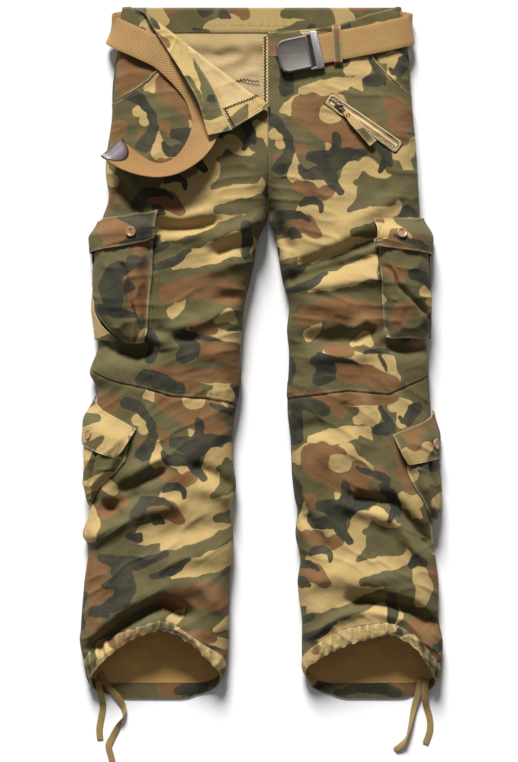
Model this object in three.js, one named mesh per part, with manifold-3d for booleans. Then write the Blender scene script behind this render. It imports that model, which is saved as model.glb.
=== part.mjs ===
// Camouflage cargo trousers, laid flat on their back with the fly open and a webbing belt left in.
// Millimetres. +X is the wearer's left, +Y runs up to the waist and +Z is off the surface.
// The origin is on the surface, under the middle of the garment.
import * as THREE from "three";
import { mergeVertices } from "three/addons/utils/BufferGeometryUtils.js";
import Module from "manifold-3d";

const wasm = await Module();
wasm.setup();

// Driving dimensions
const CLOTH = 2; // wall of a cloth panel
const BAND_WALL = 2.8; // wall of the doubled waistband
const SEAM_GAP = 0.3; // between pieces that are sewn together
const WAISTBAND = 35; // height of the waistband
const CENTRE_X = 9; // the centre front seam and the centre back seam
const CROTCH_Y = 179;
const BACK_LIFT = 5; // the back waistband rides this high, over the belt and its loops
const BELT = { width: 42, wall: 2.4 };
const TAPE = { width: 9, wall: 1.3 }; // the ties at the hems
const FOLD = { x: -26.5, y: 367.4, slope: 37.5, radius: 4.6, lift: 17 }; // where the fly corner turns down

// The outline of each leg, from the waist down: the outer side seam and the inseam
const RIGHT_OUTLINE = [
  { y: 490, outer: -197, inner: 9 },
  { y: 472, outer: -200, inner: 9 },
  { y: 437, outer: -202, inner: 9 },
  { y: 407, outer: -207, inner: 9 },
  { y: 373, outer: -211, inner: 9 },
  { y: 330, outer: -212, inner: 9 },
  { y: 273, outer: -220, inner: 9 },
  { y: 248, outer: -220, inner: 9 },
  { y: 219, outer: -216, inner: 9 },
  { y: 185, outer: -226, inner: 8 },
  { y: 168, outer: -227, inner: -1 },
  { y: 151, outer: -227, inner: -7 },
  { y: 117, outer: -226, inner: -12 },
  { y: 66, outer: -227, inner: -24 },
  { y: 15, outer: -230, inner: -28 },
  { y: -2, outer: -233, inner: -31 },
  { y: -28, outer: -243, inner: -28 },
  { y: -53, outer: -232, inner: -31 },
  { y: -104, outer: -238, inner: -40 },
  { y: -155, outer: -241, inner: -40 },
  { y: -190, outer: -242, inner: -36 },
  { y: -224, outer: -243, inner: -44 },
  { y: -258, outer: -253, inner: -40 },
  { y: -275, outer: -245, inner: -40 },
  { y: -326, outer: -251, inner: -45 },
  { y: -394, outer: -256, inner: -46 },
  { y: -411, outer: -257, inner: -47 },
  { y: -445, outer: -250, inner: -50 },
  { y: -462, outer: -246, inner: -56 },
  { y: -479, outer: -236, inner: -68 },
  { y: -491, outer: -214, inner: -88 },
];
const LEFT_OUTLINE = [
  { y: 490, outer: 198, inner: 9 },
  { y: 472, outer: 201, inner: 9 },
  { y: 437, outer: 206, inner: 9 },
  { y: 407, outer: 210, inner: 9 },
  { y: 363, outer: 212, inner: 9 },
  { y: 310, outer: 217, inner: 9 },
  { y: 273, outer: 220, inner: 9 },
  { y: 219, outer: 223, inner: 9 },
  { y: 185, outer: 225, inner: 12 },
  { y: 168, outer: 226, inner: 19 },
  { y: 134, outer: 226, inner: 24 },
  { y: 100, outer: 227, inner: 30 },
  { y: 66, outer: 228, inner: 39 },
  { y: 32, outer: 231, inner: 36 },
  { y: -2, outer: 235, inner: 39 },
  { y: -53, outer: 238, inner: 37 },
  { y: -87, outer: 240, inner: 37 },
  { y: -121, outer: 238, inner: 41 },
  { y: -173, outer: 240, inner: 43 },
  { y: -207, outer: 245, inner: 47 },
  { y: -224, outer: 244, inner: 51 },
  { y: -258, outer: 242, inner: 48 },
  { y: -292, outer: 247, inner: 55 },
  { y: -326, outer: 251, inner: 51 },
  { y: -377, outer: 251, inner: 57 },
  { y: -411, outer: 257, inner: 57 },
  { y: -445, outer: 254, inner: 58 },
  { y: -462, outer: 250, inner: 64 },
  { y: -479, outer: 240, inner: 74 },
  { y: -491, outer: 220, inner: 96 },
];
// The section of a leg or of half the seat: its height, the height of its side seam and how far its sides round in
const SECTIONS = [
  { y: 491, height: 24, seam: 13, round: 15 },
  { y: 452, height: 26, seam: 13, round: 17 },
  { y: 405, height: 32, seam: 14, round: 24 },
  { y: 350, height: 40, seam: 15, round: 30 },
  { y: 270, height: 47, seam: 16, round: 34 },
  { y: 180, height: 50, seam: 16, round: 36 },
  { y: 60, height: 50, seam: 16, round: 36 },
  { y: -70, height: 45, seam: 16, round: 34 },
  { y: -160, height: 48, seam: 16, round: 34 },
  { y: -260, height: 47, seam: 16, round: 34 },
  { y: -360, height: 46, seam: 15, round: 33 },
  { y: -430, height: 42, seam: 14, round: 30 },
  { y: -491, height: 34, seam: 13, round: 26 },
];
// Across a front, the outer rounding ends at TOP_FROM and the inner one starts at TOP_TO
const TOP_FROM = 0.22;
const TOP_TO = 0.82;
const BACK_FROM = 0.11;
const BACK_TO = 0.9;
const EDGE = 0.0016; // keeps a front and a back apart at the side seam and the inseam
const BACK_ROUND = 0.62; // how far the back rounds in, as a share of the front's rounding
const CROWN = 3;

// Edges across a front, from the side seam at 0 to the inseam at 1
const RIGHT_EDGES = {
  knee: [[0, -18], [0.22, -43], [0.38, -52], [0.55, -63], [0.78, -66], [1, -76]],
  casing: [[0, -440], [0.08, -432], [0.2, -408], [0.38, -391], [0.54, -377], [0.63, -382], [0.74, -400], [0.82, -414],
    [0.92, -428], [1, -446]],
  hem: [[0, -476], [0.13, -452], [0.24, -431], [0.34, -413], [0.42, -401], [0.55, -391], [0.66, -399], [0.75, -414],
    [0.82, -432], [0.9, -449], [1, -468]],
  backHem: [[0, -476], [0.05, -485], [0.12, -490], [0.88, -490], [0.95, -481], [1, -468]],
};
const LEFT_EDGES = {
  knee: [[0, -27], [0.15, -42], [0.33, -60], [0.59, -55], [1, -67]],
  casing: [[0, -448], [0.12, -433], [0.19, -416], [0.26, -397], [0.35, -384], [0.42, -380], [0.57, -384], [0.7, -389],
    [0.81, -402], [0.92, -422], [1, -436]],
  hem: [[0, -470], [0.1, -459], [0.17, -443], [0.26, -417], [0.35, -402], [0.42, -397], [0.55, -404], [0.66, -411],
    [0.78, -423], [0.9, -442], [1, -459]],
  backHem: [[0, -470], [0.05, -483], [0.12, -490], [0.88, -490], [0.95, -480], [1, -459]],
};

// The main folds: a ridge where rise is positive and a trough where it is negative, half as wide as it says
const RIGHT_FOLDS = [
  { path: [[-202, 245], [-172, 196]], half: 9, rise: -6 },
  { path: [[-222, 222], [-196, 206]], half: 10, rise: 4 },
  { path: [[-158, 198], [-120, 190], [-78, 196]], half: 9, rise: 6 },
  { path: [[-148, 176], [-100, 176], [-62, 184]], half: 8, rise: -7 },
  { path: [[-132, 162], [-86, 162]], half: 9, rise: 4 },
  { path: [[0, 190], [-36, 170], [-72, 160]], half: 10, rise: 6 },
  { path: [[-14, 158], [-44, 148], [-66, 140]], half: 9, rise: -8 },
  { path: [[-26, 128], [-76, 112]], half: 10, rise: 4 },
  { path: [[-34, 78], [-60, 76]], half: 8, rise: -5 },
  { path: [[-34, 64], [-80, 46], [-120, 30], [-150, 10]], half: 11, rise: 6 },
  { path: [[-92, 22], [-120, 22], [-152, 30]], half: 9, rise: -6 },
  { path: [[-204, 8], [-150, 0]], half: 14, rise: -9 },
  { path: [[-40, 6], [-100, -8]], half: 14, rise: 4 },
  { path: [[-200, -196], [-164, -178], [-136, -164]], half: 9, rise: -9 },
  { path: [[-180, -172], [-140, -150]], half: 11, rise: 6 },
  { path: [[-222, -224], [-172, -200]], half: 9, rise: -7 },
  { path: [[-242, -262], [-160, -224], [-118, -216]], half: 11, rise: 7 },
  { path: [[-42, -192], [-64, -174], [-100, -160]], half: 10, rise: -7 },
  { path: [[-40, -206], [-90, -190]], half: 12, rise: 4 },
  { path: [[-150, -262], [-50, -244]], half: 14, rise: -4 },
  { path: [[-150, -300], [-60, -284]], half: 15, rise: 4 },
  { path: [[-238, -420], [-196, -384], [-166, -366], [-138, -354], [-106, -370]], half: 12, rise: -15 },
  { path: [[-230, -392], [-170, -344], [-120, -328], [-92, -330]], half: 16, rise: 5 },
  { path: [[-90, -324], [-60, -360]], half: 12, rise: 5 },
];
const LEFT_FOLDS = [
  { path: [[10, 205], [42, 140]], half: 9, rise: -7 },
  { path: [[196, 220], [150, 196], [104, 168]], half: 12, rise: 5 },
  { path: [[168, 160], [104, 138], [56, 122]], half: 9, rise: -8 },
  { path: [[150, 176], [92, 150]], half: 9, rise: 4 },
  { path: [[170, 138], [92, 116], [36, 100]], half: 9, rise: -7 },
  { path: [[172, 106], [68, 92]], half: 11, rise: 6 },
  { path: [[130, 60], [60, 70]], half: 12, rise: 4 },
  { path: [[172, 32], [104, 22], [62, 18]], half: 10, rise: -8 },
  { path: [[126, 30], [148, 44], [170, 28]], half: 8, rise: 6 },
  { path: [[80, 6], [136, 16]], half: 9, rise: -6 },
  { path: [[70, -8], [150, -4]], half: 10, rise: 4 },
  { path: [[144, -64], [152, -104]], half: 12, rise: 5 },
  { path: [[118, -66], [128, -104]], half: 9, rise: -4 },
  { path: [[44, -112], [92, -104]], half: 12, rise: -5 },
  { path: [[76, -150], [140, -132]], half: 15, rise: 4 },
  { path: [[130, -206], [184, -212], [210, -240], [234, -276]], half: 10, rise: -12 },
  { path: [[112, -214], [186, -234], [226, -286]], half: 11, rise: 7 },
  { path: [[60, -228], [92, -280]], half: 10, rise: -7 },
  { path: [[62, -330], [130, -300]], half: 14, rise: 4 },
  { path: [[128, -350], [172, -354], [212, -364], [238, -384]], half: 11, rise: -15 },
  { path: [[66, -402], [108, -374], [148, -360], [206, -376], [238, -416]], half: 8, rise: 5 },
  { path: [[110, -322], [200, -318]], half: 15, rise: 5 },
];

const LEGS = {
  right: { outline: RIGHT_OUTLINE, edges: RIGHT_EDGES, folds: RIGHT_FOLDS, inward: 1 },
  left: { outline: LEFT_OUTLINE, edges: LEFT_EDGES, folds: LEFT_FOLDS, inward: -1 },
};

// Materials
const cloth = new THREE.MeshStandardMaterial({ color: 0x7a6c4a, roughness: 0.92, metalness: 0 });
const clothInside = new THREE.MeshStandardMaterial({ color: 0xa98d58, roughness: 0.95, metalness: 0 });
const webbing = new THREE.MeshStandardMaterial({ color: 0xc79a56, roughness: 0.85, metalness: 0 });
const cottonTape = new THREE.MeshStandardMaterial({ color: 0x9a7d47, roughness: 0.95, metalness: 0 });
const gunmetal = new THREE.MeshStandardMaterial({ color: 0x6f6d6b, roughness: 0.35, metalness: 0.9 });
const darkMetal = new THREE.MeshStandardMaterial({ color: 0x4a4338, roughness: 0.45, metalness: 0.8 });
const leather = new THREE.MeshStandardMaterial({ color: 0x4a3a3a, roughness: 0.5, metalness: 0 });
const buttonResin = new THREE.MeshStandardMaterial({ color: 0xb08560, roughness: 0.5, metalness: 0 });
const zipTapeCloth = new THREE.MeshStandardMaterial({ color: 0xcdb27e, roughness: 0.8, metalness: 0 });

// Interpolation
const clamp01 = (k) => Math.min(1, Math.max(0, k));
const smooth = (k) => {
  const c = clamp01(k);
  return c * c * (3 - 2 * c);
};
const mix = (a, b, k) => a + (b - a) * k;

// A smooth curve through a table whose y runs downwards, read for one of its columns.
function column(rows, name, y) {
  let i = 0;
  while (i < rows.length - 2 && y < rows[i + 1].y) i++;
  const at = (k) => rows[Math.min(rows.length - 1, Math.max(0, k))][name];
  const k = clamp01((rows[i].y - y) / (rows[i].y - rows[i + 1].y));
  const [a, b, c, d] = [at(i - 1), at(i), at(i + 1), at(i + 2)];
  const bend = (2 * a - 5 * b + 4 * c - d) * k * k + (3 * b - a - 3 * c + d) * k * k * k;
  return b + ((c - a) * k + bend) / 2;
}

// A line through pairs of numbers, read at a first number.
function along(pairs, at) {
  let i = 0;
  while (i < pairs.length - 2 && at > pairs[i + 1][0]) i++;
  const [[a, b], [c, d]] = [pairs[i], pairs[i + 1]];
  return mix(b, d, clamp01((at - a) / (c - a)));
}

// How far the folds raise the cloth at a place.
function foldRise(folds, x, y) {
  let rise = 0;
  for (const fold of folds) {
    let nearest = Infinity;
    let place = 0;
    let before = 0;
    for (let i = 0; i < fold.path.length - 1; i++) {
      const [[x1, y1], [x2, y2]] = [fold.path[i], fold.path[i + 1]];
      const length = Math.hypot(x2 - x1, y2 - y1);
      const k = clamp01(((x - x1) * (x2 - x1) + (y - y1) * (y2 - y1)) / (length * length));
      const away = Math.hypot(x - mix(x1, x2, k), y - mix(y1, y2, k));
      if (away < nearest) [nearest, place] = [away, before + k * length];
      before += length;
    }
    const ends = smooth((place + fold.half) / (2 * fold.half)) * smooth((before - place + fold.half) / (2 * fold.half));
    rise += fold.rise * Math.exp(-((nearest / fold.half) ** 2)) * ends;
  }
  return rise;
}

// The garment's outside
const backLift = (y) => BACK_LIFT * smooth((y - 420) / 20);

// A point of the front of a leg or of half the seat, on its outer face.
function frontPoint(leg, across, y) {
  const outer = column(leg.outline, "outer", y);
  const inner = column(leg.outline, "inner", y) - leg.inward * SEAM_GAP / 2;
  const height = column(SECTIONS, "height", y);
  const seam = column(SECTIONS, "seam", y);
  const round = column(SECTIONS, "round", y);
  const width = Math.abs(inner - outer);
  const hold = smooth((y - CROTCH_Y) / 95); // in the seat the inner edge stays up at the centre seam
  let inset;
  let z;
  if (across < TOP_FROM) {
    const angle = (Math.PI / 2) * (across / TOP_FROM);
    inset = round * (1 - Math.cos(angle));
    z = seam + (height - seam) * Math.sin(angle);
  } else if (across < TOP_TO) {
    const k = (across - TOP_FROM) / (TOP_TO - TOP_FROM);
    inset = mix(round, width - round, k);
    z = height + CROWN * 4 * k * (1 - k);
  } else {
    const k = (across - TOP_TO) / (1 - TOP_TO);
    const angle = (Math.PI / 2) * (1 - k);
    inset = width - round * mix(1 - Math.cos(angle), 1 - k, hold);
    z = mix(seam + (height - seam) * Math.sin(angle), height, hold);
  }
  const x = outer + leg.inward * inset;
  return new THREE.Vector3(x, y, z + foldRise(leg.folds, x, y) * smooth((z - seam) / 14));
}

// A point of the back, on the face that rests on the surface.
function backPoint(leg, across, y) {
  const outer = column(leg.outline, "outer", y);
  const inner = column(leg.outline, "inner", y) - leg.inward * SEAM_GAP / 2;
  const seam = column(SECTIONS, "seam", y);
  const round = BACK_ROUND * column(SECTIONS, "round", y);
  const width = Math.abs(inner - outer);
  const hold = smooth((y - CROTCH_Y) / 36);
  const floor = backLift(y);
  let inset;
  let z = floor;
  if (across < BACK_FROM) {
    const angle = (Math.PI / 2) * (across / BACK_FROM);
    inset = round * (1 - Math.cos(angle));
    z = floor + (seam - floor) * (1 - Math.sin(angle));
  } else if (across < BACK_TO) {
    inset = mix(round, width - round, (across - BACK_FROM) / (BACK_TO - BACK_FROM));
  } else {
    const k = (across - BACK_TO) / (1 - BACK_TO);
    const angle = (Math.PI / 2) * (1 - k);
    inset = width - round * mix(1 - Math.cos(angle), 1 - k, hold);
    z = floor + (seam - floor) * (1 - Math.sin(angle)) * (1 - hold);
  }
  return new THREE.Vector3(outer + leg.inward * inset, y, z);
}

// The outward normal of a face point, with up as +1 for a front and -1 for a back.
function faceNormal(pointAt, leg, across, y, up) {
  const da = 0.004;
  const dy = 1.5;
  const low = Math.max(0, across - da);
  const high = Math.min(1, across + da);
  const over = pointAt(leg, high, y).sub(pointAt(leg, low, y));
  const down = pointAt(leg, across, y - dy).sub(pointAt(leg, across, y + dy));
  return down.cross(over).normalize().multiplyScalar(leg.inward * up);
}

// Meshes
// A closed wall between two faces. face(u, v, outer) gives a point of the outer or the inner face.
// Where loop is true, u runs round and the last column meets the first.
function wall(face, us, vs, loop = false) {
  const points = [];
  const index = (side, i, j) => (side * us.length + (loop ? i % us.length : i)) * vs.length + j;
  for (const outer of [true, false]) {
    for (const u of us) {
      for (const v of vs) points.push(...face(u, v, outer).toArray());
    }
  }
  const triangles = [];
  const quad = (a, b, c, d) => triangles.push(a, b, c, a, c, d);
  const spans = loop ? us.length : us.length - 1;
  for (let i = 0; i < spans; i++) {
    for (let j = 0; j < vs.length - 1; j++) {
      quad(index(0, i, j), index(0, i, j + 1), index(0, i + 1, j + 1), index(0, i + 1, j));
      quad(index(1, i, j), index(1, i + 1, j), index(1, i + 1, j + 1), index(1, i, j + 1));
    }
    const last = vs.length - 1;
    quad(index(0, i, 0), index(0, i + 1, 0), index(1, i + 1, 0), index(1, i, 0));
    quad(index(0, i, last), index(1, i, last), index(1, i + 1, last), index(0, i + 1, last));
  }
  if (!loop) {
    const last = us.length - 1;
    for (let j = 0; j < vs.length - 1; j++) {
      quad(index(0, 0, j), index(1, 0, j), index(1, 0, j + 1), index(0, 0, j + 1));
      quad(index(0, last, j), index(0, last, j + 1), index(1, last, j + 1), index(1, last, j));
    }
  }
  return outwards(points, triangles);
}

// A geometry whose faces look outwards, whichever way its surface was walked.
function outwards(points, triangles) {
  let volume = 0;
  const at = (i) => new THREE.Vector3().fromArray(points, 3 * i);
  for (let i = 0; i < triangles.length; i += 3) {
    const [a, b, c] = [at(triangles[i]), at(triangles[i + 1]), at(triangles[i + 2])];
    volume += a.dot(b.cross(c));
  }
  if (volume < 0) triangles.reverse();
  const geometry = new THREE.BufferGeometry();
  geometry.setAttribute("position", new THREE.Float32BufferAttribute(points, 3));
  geometry.setIndex(triangles);
  return geometry;
}

const steps = (from, to, count) => Array.from({ length: count + 1 }, (_, i) => mix(from, to, i / count));

function solidOf(geometry) {
  const bare = new THREE.BufferGeometry();
  bare.setAttribute("position", geometry.getAttribute("position"));
  bare.setIndex(geometry.getIndex());
  const merged = mergeVertices(bare, 1e-3);
  const mesh = new wasm.Mesh({
    numProp: 3,
    vertProperties: new Float32Array(merged.attributes.position.array),
    triVerts: new Uint32Array(merged.index.array),
  });
  return new wasm.Manifold(mesh);
}

function geometryOf(solid) {
  const mesh = solid.getMesh();
  const geometry = new THREE.BufferGeometry();
  geometry.setAttribute("position", new THREE.Float32BufferAttribute(mesh.vertProperties, 3));
  geometry.setIndex(Array.from(mesh.triVerts));
  return geometry;
}

// An upright prism over a plan outline.
function prism(outline, from, to) {
  const shape = new THREE.Shape(outline.map(([x, y]) => new THREE.Vector2(x, y)));
  const geometry = new THREE.ExtrudeGeometry(shape, { depth: to - from, bevelEnabled: false });
  geometry.translate(0, 0, from);
  return geometry;
}

const trousers = new THREE.Group();
function add(name, geometry, material) {
  const mesh = new THREE.Mesh(geometry, material);
  mesh.name = name;
  trousers.add(mesh);
  return mesh;
}

// The grid of a front panel: its face points and normals, and a lookup on its flat facets for what lies on it.
function frontGrid(leg, topEdge, bottomEdge, columns, rows) {
  const us = [...steps(EDGE, TOP_FROM, 5), ...steps(TOP_FROM, TOP_TO, columns - 9).slice(1),
    ...steps(TOP_TO, 1 - EDGE, 4).slice(1)];
  const vs = steps(0, 1, rows);
  const grid = us.map((u) => vs.map((v) => {
    const y = mix(topEdge(u), bottomEdge(u), v);
    return { point: frontPoint(leg, u, y), normal: faceNormal(frontPoint, leg, u, y, 1) };
  }));
  const lookup = (u, y) => {
    const ui = Math.min(us.length - 2, Math.max(0, us.findIndex((value) => value > u) - 1));
    const i = u >= us[us.length - 1] ? us.length - 2 : u <= us[0] ? 0 : ui;
    const a = clamp01((u - us[i]) / (us[i + 1] - us[i]));
    const top = mix(topEdge(us[i]), topEdge(us[i + 1]), a);
    const bottom = mix(bottomEdge(us[i]), bottomEdge(us[i + 1]), a);
    const row = clamp01((y - top) / (bottom - top)) * rows;
    const j = Math.min(rows - 1, Math.floor(row));
    const b = row - j;
    const [p, q, r, s] = [grid[i][j], grid[i][j + 1], grid[i + 1][j + 1], grid[i + 1][j]];
    const blend = (key) => {
      const from = p[key].clone();
      if (b > a) {
        return from.addScaledVector(q[key].clone().sub(p[key]), b).addScaledVector(r[key].clone().sub(q[key]), a);
      }
      return from.addScaledVector(s[key].clone().sub(p[key]), a).addScaledVector(r[key].clone().sub(s[key]), b);
    };
    return { point: blend("point"), normal: blend("normal").normalize() };
  };
  const face = (outerLift, innerLift) => (u, v, outer) => {
    const cell = grid[us.indexOf(u)][vs.indexOf(v)];
    return cell.point.clone().addScaledVector(cell.normal, outer ? outerLift : innerLift);
  };
  const geometry = (outerLift = 0, innerLift = -CLOTH) =>
    wall(face(outerLift, innerLift), us, vs);
  return { us, lookup, geometry };
}

// How far across a front a place x is.
function acrossAt(leg, x, y) {
  let [low, high] = [0, 1];
  for (let i = 0; i < 24; i++) {
    const middle = (low + high) / 2;
    if (leg.inward * (frontPoint(leg, middle, y).x - x) < 0) low = middle;
    else high = middle;
  }
  return (low + high) / 2;
}

// Waist edges, as y over x. The right one is as cut, before its corner is turned down.
const leftWaist = (x) => along([[9, 453], [67, 457], [107, 462], [153, 478], [197, 489], [260, 489]], x);
const rightWaist = (x) => 489 - Math.max(0, x + 197) * 0.1706;
const foldY = (x) => FOLD.y - (x - FOLD.x) * Math.tan(THREE.MathUtils.degToRad(FOLD.slope));
const waistX = (leg, across) => frontPoint(leg, across, 455).x;

// Front panels, with the hip pocket's bearer cut from each along the pocket mouth
const { right, left } = LEGS;
const leftTop = (u) => leftWaist(waistX(left, u)) - WAISTBAND - SEAM_GAP;
const rightTop = (u) => {
  const x = waistX(right, u);
  return Math.min(rightWaist(x) - WAISTBAND, foldY(x)) - SEAM_GAP;
};
const kneeEdge = (leg) => (u) => along(leg.edges.knee, u);
const casingEdge = (leg) => (u) => along(leg.edges.casing, u);
const hemEdge = (leg) => (u) => along(leg.edges.hem, u);
const below = (edge) => (u) => edge(u) - SEAM_GAP;

const upper = {
  right: frontGrid(right, rightTop, kneeEdge(right), 14, 34),
  left: frontGrid(left, leftTop, kneeEdge(left), 14, 36),
};
const lower = {
  right: frontGrid(right, below(kneeEdge(right)), casingEdge(right), 14, 25),
  left: frontGrid(left, below(kneeEdge(left)), casingEdge(left), 14, 25),
};

const POCKET_MOUTH = {
  right: [[-118, 452], [-128, 428], [-143, 403], [-160, 385], [-180, 371], [-212, 352], [-250, 344]],
  left: [[140, 452], [150, 428], [162, 410], [180, 391], [199, 374], [214, 358], [250, 344]],
};
const BEARER_DROP = 1.6;
for (const side of ["right", "left"]) {
  const { inward } = LEGS[side];
  const mouth = POCKET_MOUTH[side];
  const corner = [[-250 * inward, 530], [mouth[0][0], 530]];
  const beyond = solidOf(prism([...mouth, ...corner], -20, 120));
  const moved = mouth.map(([x, y]) => [x - inward * SEAM_GAP, y + SEAM_GAP]);
  const within = solidOf(prism([...moved, ...corner], -20, 120));
  const panel = solidOf(upper[side].geometry());
  const dropped = solidOf(upper[side].geometry(-BEARER_DROP, -BEARER_DROP - CLOTH));
  add(`front_upper_${side}`, geometryOf(panel.subtract(beyond)), cloth);
  add(`hip_pocket_bearer_${side}`, geometryOf(dropped.intersect(within)), cloth);
  add(`front_lower_${side}`, lower[side].geometry(), cloth);
}

// Backs, in one length each
const backTop = 489 - WAISTBAND - SEAM_GAP;
for (const side of ["right", "left"]) {
  const leg = LEGS[side];
  const us = [...steps(EDGE, BACK_FROM, 3), ...steps(BACK_TO, 1 - EDGE, 3)];
  const vs = [0, 0.014, 0.022, 0.03, ...steps(0.038, 1, 24)];
  const bottom = (u) => along(leg.edges.backHem, u) + 21;
  const face = (u, v, outer) => {
    const y = mix(backTop, bottom(u), v);
    return backPoint(leg, u, y).addScaledVector(faceNormal(backPoint, leg, u, y, -1), outer ? 0 : -CLOTH);
  };
  add(`back_${side}`, wall(face, us, vs), clothInside);
}

// Hem casings, gathered on their ties. Each leg has one over the front and one under the back.
const GATHERS = { front: 13, back: 9, rise: 1.1 };
for (const side of ["right", "left"]) {
  const leg = LEGS[side];
  const gather = (u, count) => GATHERS.rise * Math.sin(2 * Math.PI * count * u) * smooth(6 * u) * smooth(6 * (1 - u));
  const panel = lower[side].us;
  const us = panel.slice(1).flatMap((u, i) => steps(panel[i], u, 4).slice(i ? 1 : 0));
  const frontFace = (u, v, outer) => {
    const lift = outer ? gather(u, GATHERS.front) + 0.6 : -2.2;
    if (v === 0) {
      const { point, normal } = lower[side].lookup(u, -600); // the panel's own bottom edge
      point.y -= 2 * SEAM_GAP;
      return point.addScaledVector(normal, lift);
    }
    const y = hemEdge(leg)(u);
    return frontPoint(leg, u, y).addScaledVector(faceNormal(frontPoint, leg, u, y, 1), lift);
  };
  const backFace = (u, v, outer) => {
    const edge = along(leg.edges.backHem, u);
    const y = mix(edge + 20, edge, v);
    const lift = Math.min(0, gather(u, GATHERS.back));
    return backPoint(leg, u, y).addScaledVector(faceNormal(backPoint, leg, u, y, -1), outer ? lift : -2.8);
  };
  add(`hem_casing_front_${side}`, wall(frontFace, us, [0, 1]), cloth);
  add(`hem_casing_back_${side}`, wall(backFace, steps(EDGE, 1 - EDGE, 36), [0, 1]), cloth);
}

// Waistband
// The fly corner of the right front is turned down over the fold line. A place as cut goes to its place as folded.
const foldAngle = THREE.MathUtils.degToRad(FOLD.slope);
const foldAlong = new THREE.Vector2(Math.cos(foldAngle), -Math.sin(foldAngle));
const foldOver = new THREE.Vector2(Math.sin(foldAngle), Math.cos(foldAngle));

function seatHeight(x, y) {
  return frontPoint(right, acrossAt(right, x, y), y).z;
}

function turnedDown(x, y, lift) {
  const place = new THREE.Vector2(x - FOLD.x, y - FOLD.y);
  const run = place.dot(foldAlong);
  const past = place.dot(foldOver);
  const radius = FOLD.radius;
  if (past <= 0) {
    const across = acrossAt(right, x, y);
    return frontPoint(right, across, y).addScaledVector(faceNormal(frontPoint, right, across, y, 1), lift);
  }
  const angle = Math.min(Math.PI, past / radius);
  const beyond = Math.max(0, past - Math.PI * radius);
  const eased = beyond * mix(0.8, 0.9, smooth((run + 60) / 70));
  const slide = 11 * smooth(beyond / 40) * (1 - smooth((run + 70) / 80));
  const back = (radius - lift) * Math.sin(angle) - eased;
  const spot = foldAlong.clone().multiplyScalar(run + slide).addScaledVector(foldOver, back);
  const [px, py] = [FOLD.x + spot.x, FOLD.y + spot.y];
  const raised = FOLD.lift * smooth(eased / 55);
  return new THREE.Vector3(px, py, seatHeight(px, py) + radius - (radius - lift) * Math.cos(angle) + raised);
}

const BAND_PROUD = 0.5; // the band's outer face stands this far off the panel's
{
  const sideX = column(RIGHT_OUTLINE, "outer", 470);
  const side = steps(0, 0.2, 4);
  const reach = [...steps(-181, -90, 24), ...steps(-90, 36, 10).slice(1)];
  const us = [...side, ...reach.map((x) => 1 + x - sideX)];
  const face = (u, v, outer) => {
    const lift = outer ? BAND_PROUD : BAND_PROUD - BAND_WALL;
    if (u < 1) {
      const y = rightWaist(-197) - WAISTBAND * (1 - v);
      return frontPoint(right, Math.max(EDGE, u), y)
        .addScaledVector(faceNormal(frontPoint, right, Math.max(EDGE, u), y, 1), lift);
    }
    const x = u - 1 + sideX;
    return turnedDown(x, rightWaist(x) - WAISTBAND * (1 - v), lift);
  };
  add("waistband_front_right", wall(face, us, steps(0, 1, 4)), cloth);
}
{
  const { us } = upper.left;
  const face = (u, v, outer) => {
    const y = leftWaist(waistX(left, u)) - WAISTBAND * v;
    const lift = outer ? BAND_PROUD : BAND_PROUD - BAND_WALL;
    return frontPoint(left, u, y).addScaledVector(faceNormal(frontPoint, left, u, y, 1), lift);
  };
  add("waistband_front_left", wall(face, us, [0, 0.5, 1]), cloth);
}
{
  const us = [...steps(EDGE, BACK_FROM, 3), ...steps(BACK_FROM, BACK_TO, 5).slice(1), 0.95, 1];
  const both = [...us.map((u) => u - 2), ...us.slice(0, -1).reverse().map((u) => 2 - u)];
  const face = (u, v, outer) => {
    const leg = u < 0 ? right : left;
    const place = u < 0 ? u + 2 : 2 - u;
    const y = 489 - WAISTBAND * v;
    const point = backPoint(leg, place, y);
    if (place === 1) point.x = CENTRE_X;
    return point.addScaledVector(faceNormal(backPoint, leg, place, y, -1), outer ? 0 : -BAND_WALL);
  };
  add("waistband_back", wall(face, both, [0, 1]), cloth);
}

// The turned-down corner of the right front, inside up, and the facing along its fly edge
const TURN = { from: -100, peak: 21, to: 40, depth: 75 };
const turnDepth = (run) => (run < TURN.peak
  ? TURN.depth * (run + 122) / (TURN.peak + 122)
  : TURN.depth * (46 - run) / (46 - TURN.peak));
function asCut(run, past) {
  return [FOLD.x + foldAlong.x * run + foldOver.x * past, FOLD.y + foldAlong.y * run + foldOver.y * past];
}
{
  const us = [...steps(TURN.from, TURN.peak, 12), ...steps(TURN.peak, TURN.to, 4).slice(1)];
  const face = (u, v, outer) => {
    const past = mix(SEAM_GAP, Math.max(2, turnDepth(u)) - SEAM_GAP, v);
    const [x, y] = asCut(u, past);
    return turnedDown(x, y, outer ? 0 : -CLOTH);
  };
  add("fly_corner_right", wall(face, us, [0, 0.05, 0.1, 0.16, 0.24, 0.4, 0.6, 0.8, 1]), clothInside);
}
{
  const us = steps(-20, 40, 6);
  const face = (u, v, outer) => {
    const deep = Math.max(4, turnDepth(u)) - 1.5;
    const [x, y] = asCut(u, mix(Math.max(15, deep - 34), deep, v));
    return turnedDown(x, y, outer ? -CLOTH - 1.7 : -CLOTH - 2.9);
  };
  add("fly_facing_right", wall(face, us.filter((u) => turnDepth(u) > 20), [0, 0.5, 1]), cloth);
}
// The shield behind the left fly edge, whose overlocked edge shows
{
  const face = (u, v, outer) => {
    const y = mix(446, 352, v);
    const x = mix(2, 40, u);
    const z = frontPoint(left, acrossAt(left, 40, y), y).z - CLOTH - 1.2;
    return new THREE.Vector3(x, y, outer ? z : z - 1.6);
  };
  add("fly_shield_left", wall(face, steps(0, 1, 2), steps(0, 1, 7)), cloth);
}

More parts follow.
